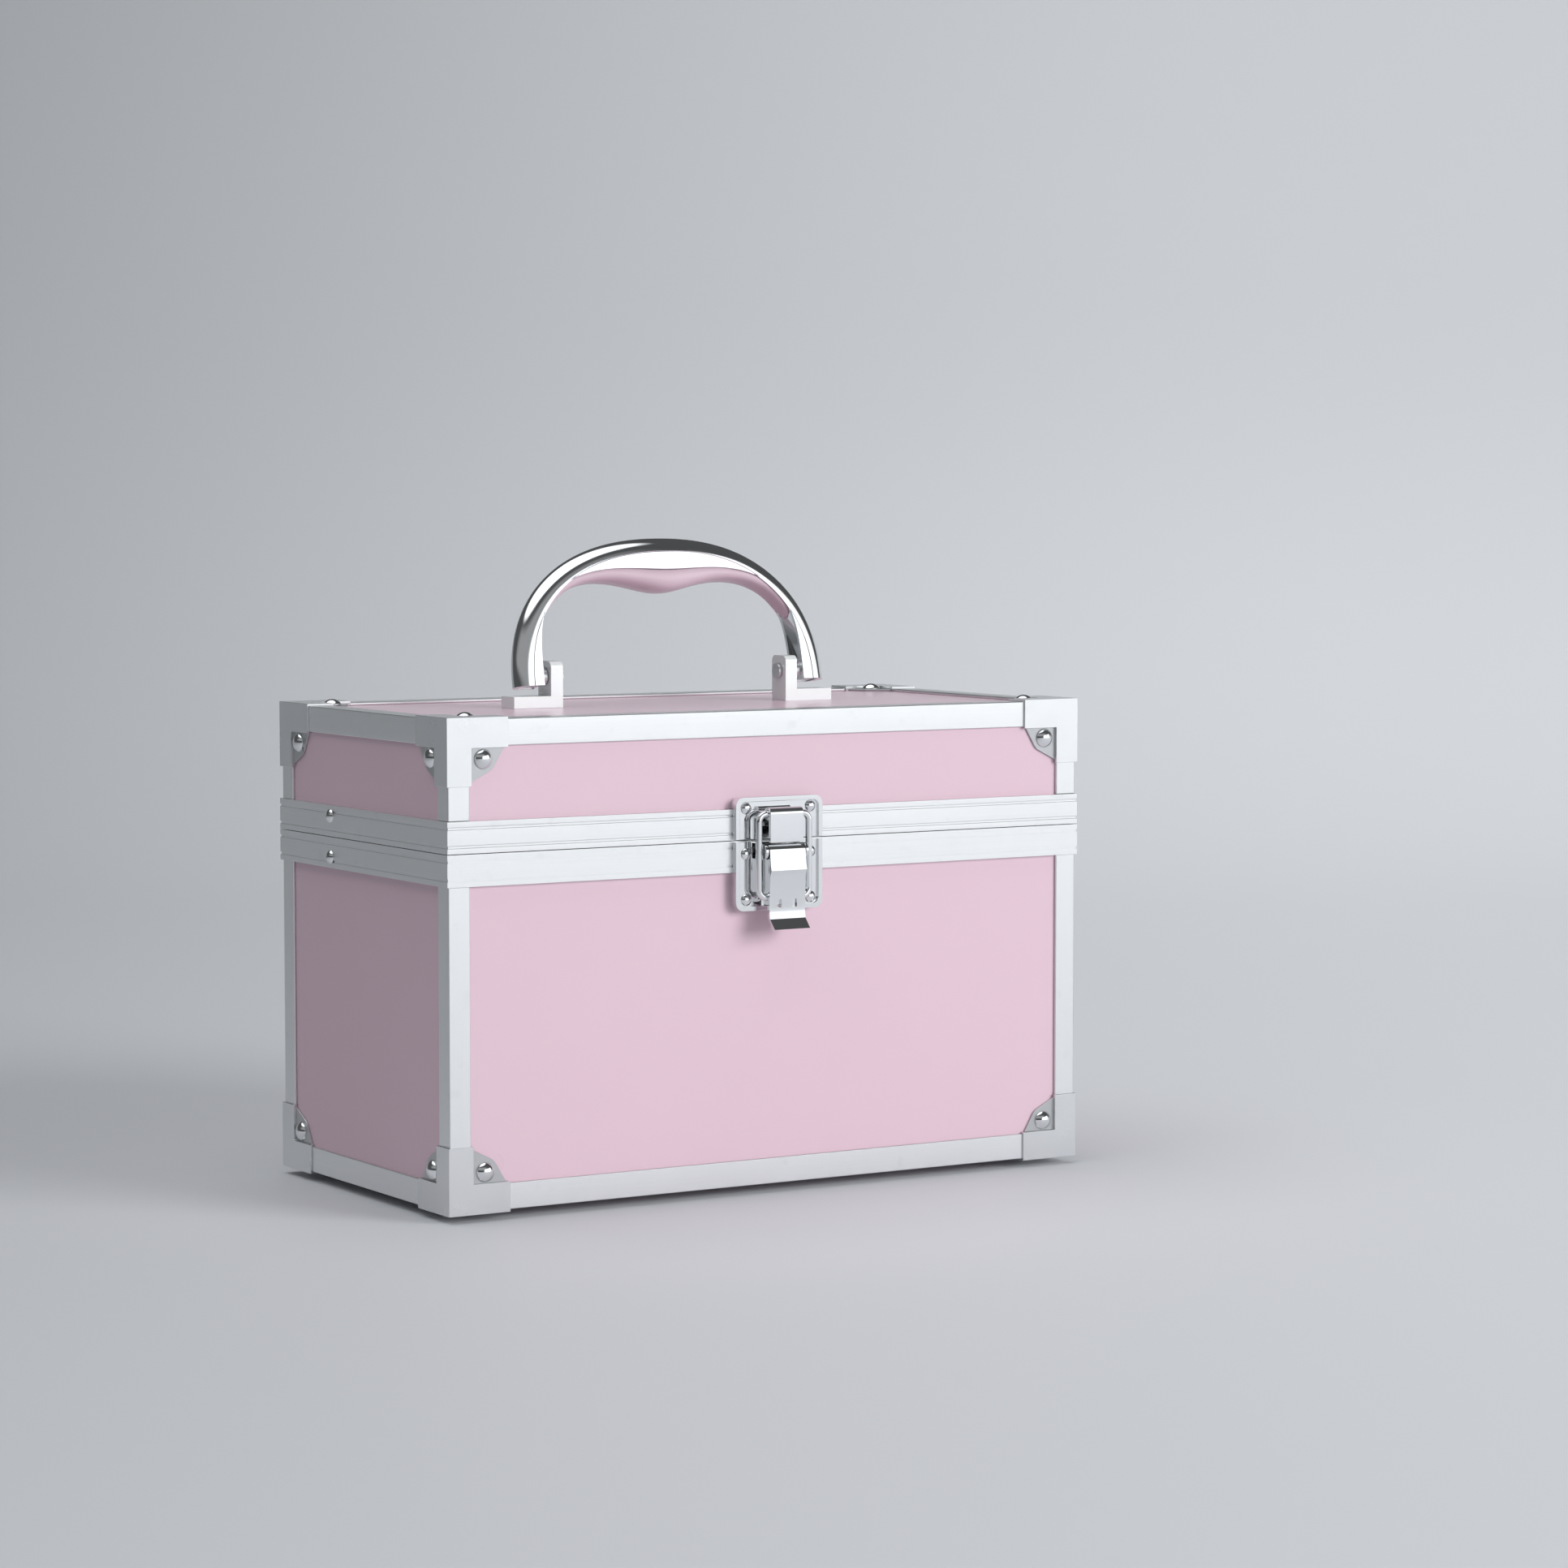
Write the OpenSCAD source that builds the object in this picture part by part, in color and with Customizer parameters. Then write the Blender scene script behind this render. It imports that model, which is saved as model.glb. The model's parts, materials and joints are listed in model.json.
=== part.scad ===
// A small beauty case: a panelled box and a hinged lid in an aluminium edge frame, with an
// arched carrying handle, a draw latch and riveted corner guards. The front faces -Y. The feet
// stand at z = 0, and x = 0, y = 0 is the middle of the whole object, latch and hinges included.

/* [Case] */
// Width over the edge rails
case_w = 238.6; // [205:0.2:320]
// Depth over the edge rails
case_d = 121.2; // [106:0.2:180]
// Height over the edge rails, without the feet
case_h = 155.3; // [125:0.1:240]
// Height of the lid over its edge rails
lid_h = 42.1; // [36:0.1:70]
// How far the lid opens until the stays stop it, in degrees
lid_open = 95; // [80:1:105]

/* [Walls] */
// Thickness of a wall panel
panel_t = 3.5; // [3:0.5:5]
// Thickness of the lining
lining_t = 1; // [0.6:0.2:1.6]

/* [Edge rails] */
// Sheet thickness of the rails
rail_t = 1; // [0.8:0.1:1.6]
// Leg width of the upright corner rails
corner_leg = 7.5; // [6:0.5:9]
// Leg width of the rails round the top and the bottom
edge_leg = 8.5; // [7:0.5:10]

/* [Band at the parting] */
// Height of each half of the band
band_h = 10.2; // [9:0.2:14]
// How far the band stands proud of the rails
band_proud = 0.7; // [0.6:0.1:1.6]
// Thickness of the band's web over the panel edges
web_t = 1.5; // [1:0.1:2]
// Gap between the two halves of the closed case
band_gap = 0.2; // [0.1:0.1:0.6]
// Height of the base's inner flange
flange_h = 9; // [8.8:0.1:10]
// Height of the locating lip above the parting
lip_h = 3; // [2:0.2:3.4]
// Thickness of the locating lip
lip_t = 1.2; // [1:0.1:1.6]
// Clearance of the lip inside the lid's walls
lip_gap = 0.4; // [0.3:0.1:0.8]
// Width of the grooves that run along the band
groove_w = 0.8; // [0.4:0.1:1.2]
// Depth of those grooves
groove_deep = 0.3; // [0.2:0.1:0.5]
// Distance of the grooves from the band's edges
groove_in = 1.8; // [1.2:0.1:3]

/* [Corner guards] */
// Sheet thickness of the guards
guard_t = 0.7; // [0.5:0.1:1]
// Length of a guard's legs along the edges
guard_leg = 21; // [19:0.5:28]
// How far a guard leg reaches past its rail
guard_over = 0.5; // [0.4:0.1:1.2]
// Radius of the guard's web round its rivet
guard_boss_r = 4.6; // [4:0.1:6]
// Rivet position, from both edges
guard_rivet_in = 12.5; // [12:0.1:14]
// Diameter of a guard rivet's dome
guard_head_d = 6.5; // [5:0.1:8]
// Height of a guard rivet's dome
guard_head_h = 2; // [1.2:0.1:2.4]
// Shank diameter of the guard rivets
guard_shank_d = 3; // [2:0.1:4]

/* [Feet] */
// Clearance of the rails over the floor
foot_lift = 3.2; // [3.2:0.1:8]
// Diameter of a foot at the floor
foot_d = 12; // [9:0.5:18]
// Foot position, from both sides of the case
foot_in = 26; // [24:0.5:34]
// Shank diameter of the foot screws
foot_screw_d = 2.5; // [2:0.1:3.5]

/* [Handle] */
// Width over the handle's legs
arch_w = 120; // [100:1:130]
// Height of the handle over its leg ends
arch_h = 50; // [40:0.5:60]
// How far the handle stands behind the middle of the lid
handle_back = 8; // [0:0.5:15]
// Lean of the handle towards the back, in degrees
handle_lean = 12; // [0:1:15]
// Depth of the handle at its legs
leg_w = 9; // [8:0.5:12]
// Depth of the handle at its crown
crown_w = 15; // [12:0.5:18]
// Thickness of the shell at its legs
leg_t = 9.5; // [9:0.1:11]
// Thickness of the shell at its crown
crown_t = 10.6; // [9:0.1:12]
// Height of the shell's domed back
dome_h = 5.6; // [4:0.1:6.5]
// Wall of the shell beside its channel
shell_wall = 1.2; // [1:0.1:1.6]
// How far the grip stands out of the shell
grip_out = 4.2; // [2:0.1:6]
// Extra swell of the grip at the middle of the hand
grip_swell = 2.6; // [0:0.1:4]
// Pivot height over the leg ends
pivot_up = 3.5; // [3.2:0.1:5]
// Pivot pin diameter
pivot_d = 3; // [2:0.1:4]

/* [Handle brackets] */
// Length of a bracket's foot
bracket_l = 18.5; // [17:0.5:22]
// Depth of a bracket
bracket_w = 9; // [8:0.5:12]
// Thickness of a bracket's foot
bracket_t = 4; // [3:0.1:4.5]
// Thickness of a bracket's ear
ear_t = 4.6; // [3:0.1:5]
// Height of a bracket's ear over the lid
ear_h = 15.5; // [15.4:0.1:18]
// Gap between an ear and the handle's leg end
ear_gap = 0.4; // [0.3:0.1:1]

/* [Latch] */
// Width of the latch plates
latch_w = 33; // [31:0.5:40]
// Reach of the base plate below the parting
latch_down = 22.9; // [22.9:0.1:26]
// Reach of the catch plate above the parting
latch_up = 14.1; // [13.2:0.1:18]
// Sheet thickness of the latch
latch_t = 1.2; // [1:0.1:1.4]
// Height of the rim round the plates
latch_rim_h = 0.9; // [0.5:0.1:1]
// Corner radius of the plates
latch_r = 3; // [1:0.1:4]
// Width of the lever
lever_w = 13.5; // [12:0.1:14]
// Wire diameter of the bail
bail_d = 2.2; // [1.8:0.1:2.4]
// Diameter of the lever's pivot pin
lever_pin_d = 2; // [1.5:0.1:2.4]

/* [Hinges] */
// Distance of each hinge from the middle
hinge_x = 62; // [40:1:80]
// Width of a hinge
hinge_w = 30; // [24:1:40]
// Height of a hinge leaf from the parting
hinge_h = 9.5; // [9:0.1:10]
// Thickness of a hinge leaf
leaf_t = 1; // [0.8:0.1:1.2]
// Outer radius of the knuckles
knuckle_r = 2.4; // [2:0.1:3]
// Diameter of the hinge pin
hinge_pin_d = 2; // [1.5:0.1:2.4]

/* [Lid stays] */
// Distance of the stay rivets from the band's back face
stay_back = 38.5; // [30:0.5:44]
// Height of the stay rivets above and below the parting
stay_rise = 6.75; // [6.2:0.05:7]
// Thickness of a stay bar
stay_t = 1.2; // [1:0.1:1.6]
// Width of a stay bar
stay_w = 8; // [7.5:0.1:10]
// Shank diameter of the stay rivets
stay_pin_d = 3; // [2.4:0.1:3.4]

/* [Mirror] */
// Thickness of the mirror
mirror_t = 2; // [1.5:0.1:3]
// Clear border between the mirror and the lining's sides
mirror_in = 16; // [12:1:30]

/* [Hidden] */

$fn = 48;

pink = "#E2C9D5";
aluminium = "#E3E6E8";
chrome = "#D9DDE0";
steel = "#C9CDD1";
grey_lining = "#4A4648";

run_gap = 0.05;                       // radial clearance of a pin in its bore
free_gap = 0.3;                       // clearance between pieces that pass each other
hx = case_w / 2;
hy = case_d / 2;
z0 = foot_lift;                       // underside of the bottom rails
z1 = z0 + case_h;                     // top of the top rails
part_z = z1 - lid_h;                  // the parting plane
wall_in = rail_t + panel_t;           // inner face of a wall, from the rails' outer plane
base_top = part_z - band_gap / 2;
lid_low = part_z + band_gap / 2;
lip_out = wall_in + lip_gap;
lip_in = lip_out + lip_t;
lid_face = z1 - rail_t;               // outer face of the lid's top panel
back_y = hy + band_proud;
front_y = -back_y;

hinge_p = knuckle_r + 0.1;            // hinge axis behind the band's back face
axis_y = back_y + hinge_p;
latch_reach = 10.2;                   // how far the lever's tongue stands out of the band
mid_y = (latch_reach - hinge_p - knuckle_r) / 2;

// Small parts shared by several sub-parts -------------------------------------------------

module placed() {
    translate([0, mid_y, 0]) children();
}

module block(lo, hi) {
    translate(lo) cube(hi - lo);
}

// A closed frame between two insets from the rails' outer planes
module ring(out, in, lo, hi) {
    translate([0, 0, lo]) linear_extrude(hi - lo) difference() {
        square([case_w - 2 * out, case_d - 2 * out], center = true);
        square([case_w - 2 * in, case_d - 2 * in], center = true);
    }
}

// One mitred length of a frame: along the front, or along the left side
module front_length() {
    e = 5;
    intersection() {
        children();
        linear_extrude(2 * z1)
            polygon([[-hx - e, -hy - e], [hx + e, -hy - e], [hx - hy, 0], [hy - hx, 0]]);
    }
}

module left_length() {
    e = 5;
    intersection() {
        children();
        linear_extrude(2 * z1) polygon([[-hx - e, -hy - e], [hy - hx, 0], [-hx - e, hy + e]]);
    }
}

module both_sides() {
    children();
    mirror([1, 0, 0]) children();
}

module front_and_back() {
    children();
    mirror([0, 1, 0]) children();
}

// A flat-based dome of diameter d and height h, on the plane z = 0
module dome(d, h) {
    r = (d * d / 4 + h * h) / (2 * h);
    intersection() {
        translate([0, 0, h - r]) sphere(r = r);
        cylinder(d = d + 1, h = h + 1);
    }
}

// A dome-headed rivet: the head stands on z = 0 and the shank goes down
module rivet(head_d, head_h, shank_d, shank_l) {
    union() {
        dome(head_d, head_h);
        translate([0, 0, -shank_l]) cylinder(d = shank_d, h = shank_l + head_h / 2);
    }
}

// A countersunk rivet: its flat head ends on z = 0 and the shank goes down
module flush_rivet(head_d, shank_d, shank_l) {
    sink = (head_d - shank_d) / 2;
    union() {
        translate([0, 0, -sink]) cylinder(d1 = shank_d, d2 = head_d, h = sink);
        translate([0, 0, -shank_l]) cylinder(d = shank_d, h = shank_l - sink / 2);
    }
}

module bore_x(y, z, d) {
    translate([0, y, z]) rotate([0, 90, 0]) cylinder(d = d, h = 2 * case_w, center = true);
}

module bore_y(x, z, d) {
    translate([x, 0, z]) rotate([90, 0, 0]) cylinder(d = d, h = 2 * case_d, center = true);
}

module bore_z(x, y, d) {
    translate([x, y, 0]) cylinder(d = d, h = 2 * z1);
}

function hole(d) = d + 2 * run_gap;

// Corner guards -----------------------------------------------------------------------------

guard_tip = 0.8;                      // the web ends this much short of the legs

// Puts a piece that is drawn in the front, left, lower corner into any of the eight corners
module at_corner(right, back, top) {
    translate([right ? hx : -hx, back ? hy : -hy, top ? z1 : z0])
        mirror([right ? 1 : 0, 0, 0]) mirror([0, back ? 1 : 0, 0]) mirror([0, 0, top ? 1 : 0])
            children();
}

// The two legs of one guard face, from the guard's own corner
module guard_legs(u_leg, v_leg) {
    translate([-guard_t, -guard_t]) square([u_leg + guard_over + guard_t, guard_leg + guard_t]);
    translate([-guard_t, -guard_t]) square([guard_leg + guard_t, v_leg + guard_over + guard_t]);
}

// Where a straight edge from the point p touches the web's round, on the side given by turn
function touch(p, turn) =
    let (mid = [guard_rivet_in, guard_rivet_in], d = p - mid,
         a = atan2(d[1], d[0]) + turn * acos(guard_boss_r / norm(d)))
    mid + guard_boss_r * [cos(a), sin(a)];

// The web between the legs, cut slantwise and rounded out round the rivet
module guard_web(u_leg, v_leg) {
    tip = guard_leg - guard_tip;
    u_end = [tip, v_leg];
    v_end = [u_leg, tip];
    difference() {
        intersection() {
            union() {
                polygon([[u_leg, v_leg], u_end, touch(u_end, 1), touch(v_end, -1), v_end]);
                translate([guard_rivet_in, guard_rivet_in]) circle(r = guard_boss_r);
            }
            translate([u_leg, v_leg]) square(guard_leg);
        }
        translate([guard_rivet_in, guard_rivet_in]) circle(d = hole(guard_shank_d));
    }
}

// One face: the legs lie on the rails and step down along the rails' inner edges to the web,
// which lies on the panel
module guard_face(u_leg, v_leg) {
    union() {
        linear_extrude(guard_t) guard_legs(u_leg, v_leg);
        translate([0, 0, -rail_t]) {
            linear_extrude(guard_t) guard_web(u_leg, v_leg);
            linear_extrude(rail_t + guard_t) intersection() {
                guard_legs(u_leg, v_leg);
                translate([u_leg, v_leg]) square(guard_leg);
            }
        }
    }
}

module on_front_face() {
    rotate([90, 0, 0]) children();
}

module on_side_face() {
    mirror([0, 1, 0]) rotate([90, 0, 0]) rotate([0, -90, 0]) children();
}

module on_floor_face() {
    mirror([0, 0, 1]) children();
}

module corner_guard(right, back, top) {
    color(steel) placed() at_corner(right, back, top) union() {
        on_front_face() guard_face(corner_leg, edge_leg);
        on_side_face() guard_face(corner_leg, edge_leg);
        on_floor_face() guard_face(edge_leg, edge_leg);
    }
}

module guard_rivets(top) {
    in = guard_rivet_in;
    seat = guard_t - rail_t;
    shank = wall_in + seat - 0.2;
    color(chrome) placed() for (right = [false, true], back = [false, true])
        at_corner(right, back, top) {
            on_front_face() translate([in, in, seat])
                rivet(guard_head_d, guard_head_h, guard_shank_d, shank);
            on_side_face() translate([in, in, seat])
                rivet(guard_head_d, guard_head_h, guard_shank_d, shank);
            on_floor_face() translate([in, in, seat])
                rivet(guard_head_d, guard_head_h, guard_shank_d, shank);
        }
}

module base_guard_front_left() { corner_guard(false, false, false); }
module base_guard_front_right() { corner_guard(true, false, false); }
module base_guard_back_left() { corner_guard(false, true, false); }
module base_guard_back_right() { corner_guard(true, true, false); }
module lid_guard_front_left() { corner_guard(false, false, true); }
module lid_guard_front_right() { corner_guard(true, false, true); }
module lid_guard_back_left() { corner_guard(false, true, true); }
module lid_guard_back_right() { corner_guard(true, true, true); }
module base_guard_rivets() { guard_rivets(false); }
module lid_guard_rivets() { guard_rivets(true); }

// Panels ------------------------------------------------------------------------------------

base_rivet_z = z0 + guard_rivet_in;
lid_rivet_z = z1 - guard_rivet_in;

// A long wall at the front; the back one is its mirror image
module long_panel(lo, hi, rivet_z) {
    difference() {
        block([-hx + rail_t, -hy + rail_t, lo], [hx - rail_t, -hy + wall_in, hi]);
        for (side = [-1, 1]) bore_y(side * (hx - guard_rivet_in), rivet_z, hole(guard_shank_d));
    }
}

// A short wall at the left, between the long walls
module short_panel(lo, hi, rivet_z, stay_z) {
    difference() {
        block([-hx + rail_t, -hy + wall_in, lo], [-hx + wall_in, hy - wall_in, hi]);
        for (side = [-1, 1]) bore_x(side * (hy - guard_rivet_in), rivet_z, hole(guard_shank_d));
        bore_x(stay_y, stay_z, hole(stay_pin_d));
    }
}

// The floor of the base or the top of the lid, inside the four walls
module flat_panel(lo) {
    difference() {
        block([-hx + wall_in, -hy + wall_in, lo], [hx - wall_in, hy - wall_in, lo + panel_t]);
        for (side = [-1, 1], end = [-1, 1])
            bore_z(side * (hx - guard_rivet_in), end * (hy - guard_rivet_in), hole(guard_shank_d));
    }
}

module base_front_panel() {
    color(pink) placed() difference() {
        long_panel(z0 + rail_t, base_top - web_t, base_rivet_z);
        for (at = base_rivets_xz) bore_y(at[0], part_z + at[1], hole(small_shank_d));
    }
}

module base_back_panel() {
    color(pink) placed() difference() {
        mirror([0, 1, 0]) long_panel(z0 + rail_t, base_top - web_t, base_rivet_z);
        for (x = hinge_rivet_xs) bore_y(x, part_z - hinge_rivet_z, hole(small_shank_d));
    }
}

module base_left_panel() {
    color(pink) placed() short_panel(z0 + rail_t, base_top - web_t, base_rivet_z, part_z - stay_rise);
}

module base_right_panel() {
    color(pink) placed() mirror([1, 0, 0])
        short_panel(z0 + rail_t, base_top - web_t, base_rivet_z, part_z - stay_rise);
}

module base_floor_panel() {
    color(pink) placed() difference() {
        flat_panel(z0 + rail_t);
        for (at = foot_xys) bore_z(at[0], at[1], hole(foot_screw_d));
    }
}

module lid_front_panel() {
    color(pink) placed() difference() {
        long_panel(lid_low + web_t, z1 - rail_t, lid_rivet_z);
        for (at = catch_rivets_xz) bore_y(at[0], part_z + at[1], hole(small_shank_d));
    }
}

module lid_back_panel() {
    color(pink) placed() difference() {
        mirror([0, 1, 0]) long_panel(lid_low + web_t, z1 - rail_t, lid_rivet_z);
        for (x = hinge_rivet_xs) bore_y(x, part_z + hinge_rivet_z, hole(small_shank_d));
    }
}

module lid_left_panel() {
    color(pink) placed() short_panel(lid_low + web_t, z1 - rail_t, lid_rivet_z, part_z + stay_rise);
}

module lid_right_panel() {
    color(pink) placed() mirror([1, 0, 0])
        short_panel(lid_low + web_t, z1 - rail_t, lid_rivet_z, part_z + stay_rise);
}

module lid_top_panel() {
    color(pink) placed() difference() {
        flat_panel(lid_face - panel_t);
        for (side = [-1, 1], x = bracket_rivet_xs)
            bore_z(side * x, handle_back, hole(small_shank_d));
    }
}

// Edge rails --------------------------------------------------------------------------------

// The angle that runs round the bottom: an upright leg and a flat leg
module base_edge_ring() {
    ring(0, rail_t, z0, z0 + edge_leg);
    ring(0, edge_leg, z0, z0 + rail_t);
}

module lid_edge_ring() {
    ring(0, rail_t, z1 - edge_leg, z1);
    ring(0, edge_leg, z1 - rail_t, z1);
}

module base_long_rails() {
    color(aluminium) placed() front_and_back() front_length() base_edge_ring();
}

module base_short_rails() {
    color(aluminium) placed() both_sides() left_length() base_edge_ring();
}

module lid_long_rails() {
    color(aluminium) placed() front_and_back() front_length() lid_edge_ring();
}

module lid_short_rails() {
    color(aluminium) placed() both_sides() left_length() lid_edge_ring();
}

module corner_rails(lo, hi) {
    color(aluminium) placed() both_sides() front_and_back()
        translate([-hx, -hy, lo]) linear_extrude(hi - lo) difference() {
            square(corner_leg);
            translate([rail_t, rail_t]) square(corner_leg);
        }
}

module base_corner_rails() { corner_rails(z0 + edge_leg, base_top - band_h); }
module lid_corner_rails() { corner_rails(lid_low + band_h, z1 - edge_leg); }

// Band at the parting -----------------------------------------------------------------------

module band_grooves(lo, hi) {
    for (z = [lo + groove_in, hi - groove_in - groove_w])
        ring(-band_proud - 1, groove_deep - band_proud, z, z + groove_w);
}

// The base's half: outer face, web over the panel edges, inner flange and locating lip
module base_band_ring() {
    difference() {
        union() {
            ring(-band_proud, rail_t, base_top - band_h, base_top);
            ring(-band_proud, lip_in, base_top - web_t, base_top);
            ring(wall_in, lip_in, base_top - flange_h, base_top);
            ring(lip_out, lip_in, base_top - web_t, base_top + lip_h);
        }
        band_grooves(base_top - band_h, base_top);
    }
}

module lid_band_ring() {
    difference() {
        union() {
            ring(-band_proud, rail_t, lid_low, lid_low + band_h);
            ring(-band_proud, wall_in, lid_low, lid_low + web_t);
        }
        band_grooves(lid_low, lid_low + band_h);
    }
}

module base_front_band() {
    color(aluminium) placed() difference() {
        front_length() base_band_ring();
        for (at = base_rivets_xz) bore_y(at[0], part_z + at[1], hole(small_shank_d));
    }
}

module base_back_band() {
    color(aluminium) placed() difference() {
        mirror([0, 1, 0]) front_length() base_band_ring();
        for (x = hinge_rivet_xs) bore_y(x, part_z - hinge_rivet_z, hole(small_shank_d));
    }
}

module base_side_bands() {
    color(aluminium) placed() difference() {
        both_sides() left_length() base_band_ring();
        bore_x(stay_y, part_z - stay_rise, hole(stay_pin_d));
    }
}

module lid_front_band() {
    color(aluminium) placed() difference() {
        front_length() lid_band_ring();
        for (at = catch_rivets_xz) bore_y(at[0], part_z + at[1], hole(small_shank_d));
    }
}

module lid_back_band() {
    color(aluminium) placed() difference() {
        mirror([0, 1, 0]) front_length() lid_band_ring();
        for (x = hinge_rivet_xs) bore_y(x, part_z + hinge_rivet_z, hole(small_shank_d));
    }
}

module lid_side_bands() {
    color(aluminium) placed() difference() {
        both_sides() left_length() lid_band_ring();
        bore_x(stay_y, part_z + stay_rise, hole(stay_pin_d));
    }
}

// Feet --------------------------------------------------------------------------------------

foot_x = hx - foot_in;
foot_y = hy - foot_in;
foot_xys = [for (sx = [-1, 1], sy = [-1, 1]) [sx * foot_x, sy * foot_y]];
foot_h = z0 + rail_t;
foot_flare = 1.5;
foot_screw_head_d = 6;
foot_screw_head_h = 1.4;
foot_recess = 2;

module feet() {
    color("#2B2B2E") placed() for (at = foot_xys) translate([at[0], at[1], 0]) difference() {
        cylinder(d1 = foot_d, d2 = foot_d + foot_flare, h = foot_h);
        translate([0, 0, -1]) cylinder(d = foot_screw_head_d + 1, h = foot_recess + 1);
        cylinder(d = hole(foot_screw_d), h = 2 * foot_h);
    }
}

module foot_screws() {
    color(steel) placed() for (at = foot_xys) translate([at[0], at[1], foot_recess]) union() {
        mirror([0, 0, 1]) cylinder(d = foot_screw_head_d, h = foot_screw_head_h);
        translate([0, 0, -foot_screw_head_h / 2])
            cylinder(d = foot_screw_d, h = foot_screw_head_h / 2 + foot_h - foot_recess + panel_t - 0.5);
    }
}

// Linings and mirror ------------------------------------------------------------------------

base_lining_low = z0 + wall_in;
base_lining_top = base_top - flange_h;
lid_lining_low = base_top + lip_h + free_gap;
lid_lining_top = z1 - wall_in;
lining_in = wall_in + lining_t;

module base_lining() {
    color(grey_lining) placed() union() {
        ring(wall_in, lining_in, base_lining_low, base_lining_top);
        block([-hx + wall_in, -hy + wall_in, base_lining_low],
              [hx - wall_in, hy - wall_in, base_lining_low + lining_t]);
    }
}

module lid_lining() {
    color(grey_lining) placed() difference() {
        union() {
            ring(wall_in, lining_in, lid_lining_low, lid_lining_top);
            block([-hx + wall_in, -hy + wall_in, lid_lining_top - lining_t],
                  [hx - wall_in, hy - wall_in, lid_lining_top]);
        }
        bore_x(stay_y, part_z + stay_rise, hole(stay_pin_d));
    }
}

module mirror_glass() {
    x = hx - lining_in - mirror_in;
    y = hy - lining_in - mirror_in;
    top = lid_lining_top - lining_t;
    color("#C8D4DA") placed() block([-x, -y, top - mirror_t], [x, y, top]);
}

// Hinges ------------------------------------------------------------------------------------

small_head_d = 4;                     // rivets of the hinges, the latch and the brackets
small_head_h = 1.1;
small_shank_d = 2.4;
hinge_rivet_z = 6;
hinge_rivet_xs = [for (s = [-1, 1], t = [-1, 1]) s * hinge_x + t * hinge_w / 3];
knuckle_half = hinge_w / 6;
knuckle_gap = 0.1;                    // end gap on each side of the middle knuckle
leaf_rise = knuckle_r + 0.4;          // a leaf's plate starts here, clear of the other's knuckle

module knuckle(from, to) {
    translate([from, axis_y, part_z]) rotate([0, 90, 0]) cylinder(r = knuckle_r, h = to - from);
}

module hinge_bore() {
    bore_x(axis_y, part_z, hole(hinge_pin_d));
}

module at_hinges() {
    for (side = [-1, 1]) translate([side * hinge_x, 0, 0]) children();
}

module hinge_base_leaves() {
    a = knuckle_half + knuckle_gap;
    color(steel) placed() at_hinges() difference() {
        union() {
            block([-hinge_w / 2, back_y, part_z - hinge_h],
                  [hinge_w / 2, back_y + leaf_t, part_z - leaf_rise]);
            both_sides() {
                block([a, back_y, part_z - leaf_rise - 1],
                      [hinge_w / 2, back_y + leaf_t, part_z - free_gap]);
                knuckle(a, hinge_w / 2);
            }
        }
        hinge_bore();
        both_sides() bore_y(hinge_w / 3, part_z - hinge_rivet_z, hole(small_shank_d));
    }
}

module hinge_lid_leaves() {
    a = knuckle_half - knuckle_gap;
    color(steel) placed() at_hinges() difference() {
        union() {
            block([-hinge_w / 2, back_y, part_z + leaf_rise],
                  [hinge_w / 2, back_y + leaf_t, part_z + hinge_h]);
            block([-a, back_y, part_z + free_gap], [a, back_y + leaf_t, part_z + leaf_rise + 1]);
            knuckle(-a, a);
        }
        hinge_bore();
        both_sides() bore_y(hinge_w / 3, part_z + hinge_rivet_z, hole(small_shank_d));
    }
}

module hinge_pins() {
    head_t = 0.8;
    color(steel) placed() at_hinges() translate([0, axis_y, part_z]) rotate([0, 90, 0]) union() {
        cylinder(d = hinge_pin_d, h = hinge_w, center = true);
        for (end = [0, 1]) mirror([0, 0, end]) translate([0, 0, hinge_w / 2])
            cylinder(d = hinge_pin_d + 1.4, h = head_t);
        cylinder(d = hinge_pin_d, h = hinge_w + head_t, center = true);
    }
}

module hinge_rivets(z) {
    shank = leaf_t + band_proud + wall_in - 0.2;
    color(chrome) placed() for (x = hinge_rivet_xs)
        translate([x, back_y + leaf_t, z]) rotate([-90, 0, 0])
            rivet(small_head_d, small_head_h, small_shank_d, shank);
}

module hinge_base_rivets() { hinge_rivets(part_z - hinge_rivet_z); }
module hinge_lid_rivets() { hinge_rivets(part_z + hinge_rivet_z); }

// Latch -------------------------------------------------------------------------------------

// Heights here are counted from the parting, and p is the distance out of the band's front face
latch_gap = 0.4;                      // gap of each plate's end to the parting
latch_rim_w = 1.5;
plate_drop = band_proud + rail_t;     // from the band's face back to the panel
latch_rivet_x = latch_w / 2 - 4.3;
base_rivets_xz = [for (s = [-1, 1], z = [3.6 - latch_down, -4.4]) [s * latch_rivet_x, z]];
catch_rivets_xz = [for (s = [-1, 1]) [s * latch_rivet_x, latch_up - 3.6]];
lever_pivot = [4.6, -3.6];            // p and height of the lever's pin
knuckle_lever_r = 2.7;
bail_p = 4.8;                         // the bail's wire lies at this p all round
bail_low = -18.4;
bail_top = 8.7;
bail_x = lever_w / 2 + 2.75;
bail_bend = 2.6;
ear_sheet = 1;
ear_r = 2.6;

// Draws 2D shapes of x and height, and builds them outwards from p
module on_band(p) {
    translate([0, front_y - p, part_z]) rotate([90, 0, 0]) children();
}

// Draws 2D shapes of p and height, and builds them along x
module along_x(from, to) {
    translate([from, front_y, part_z]) rotate([90, 0, 90]) linear_extrude(to - from)
        mirror([1, 0]) children();
}

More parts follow.
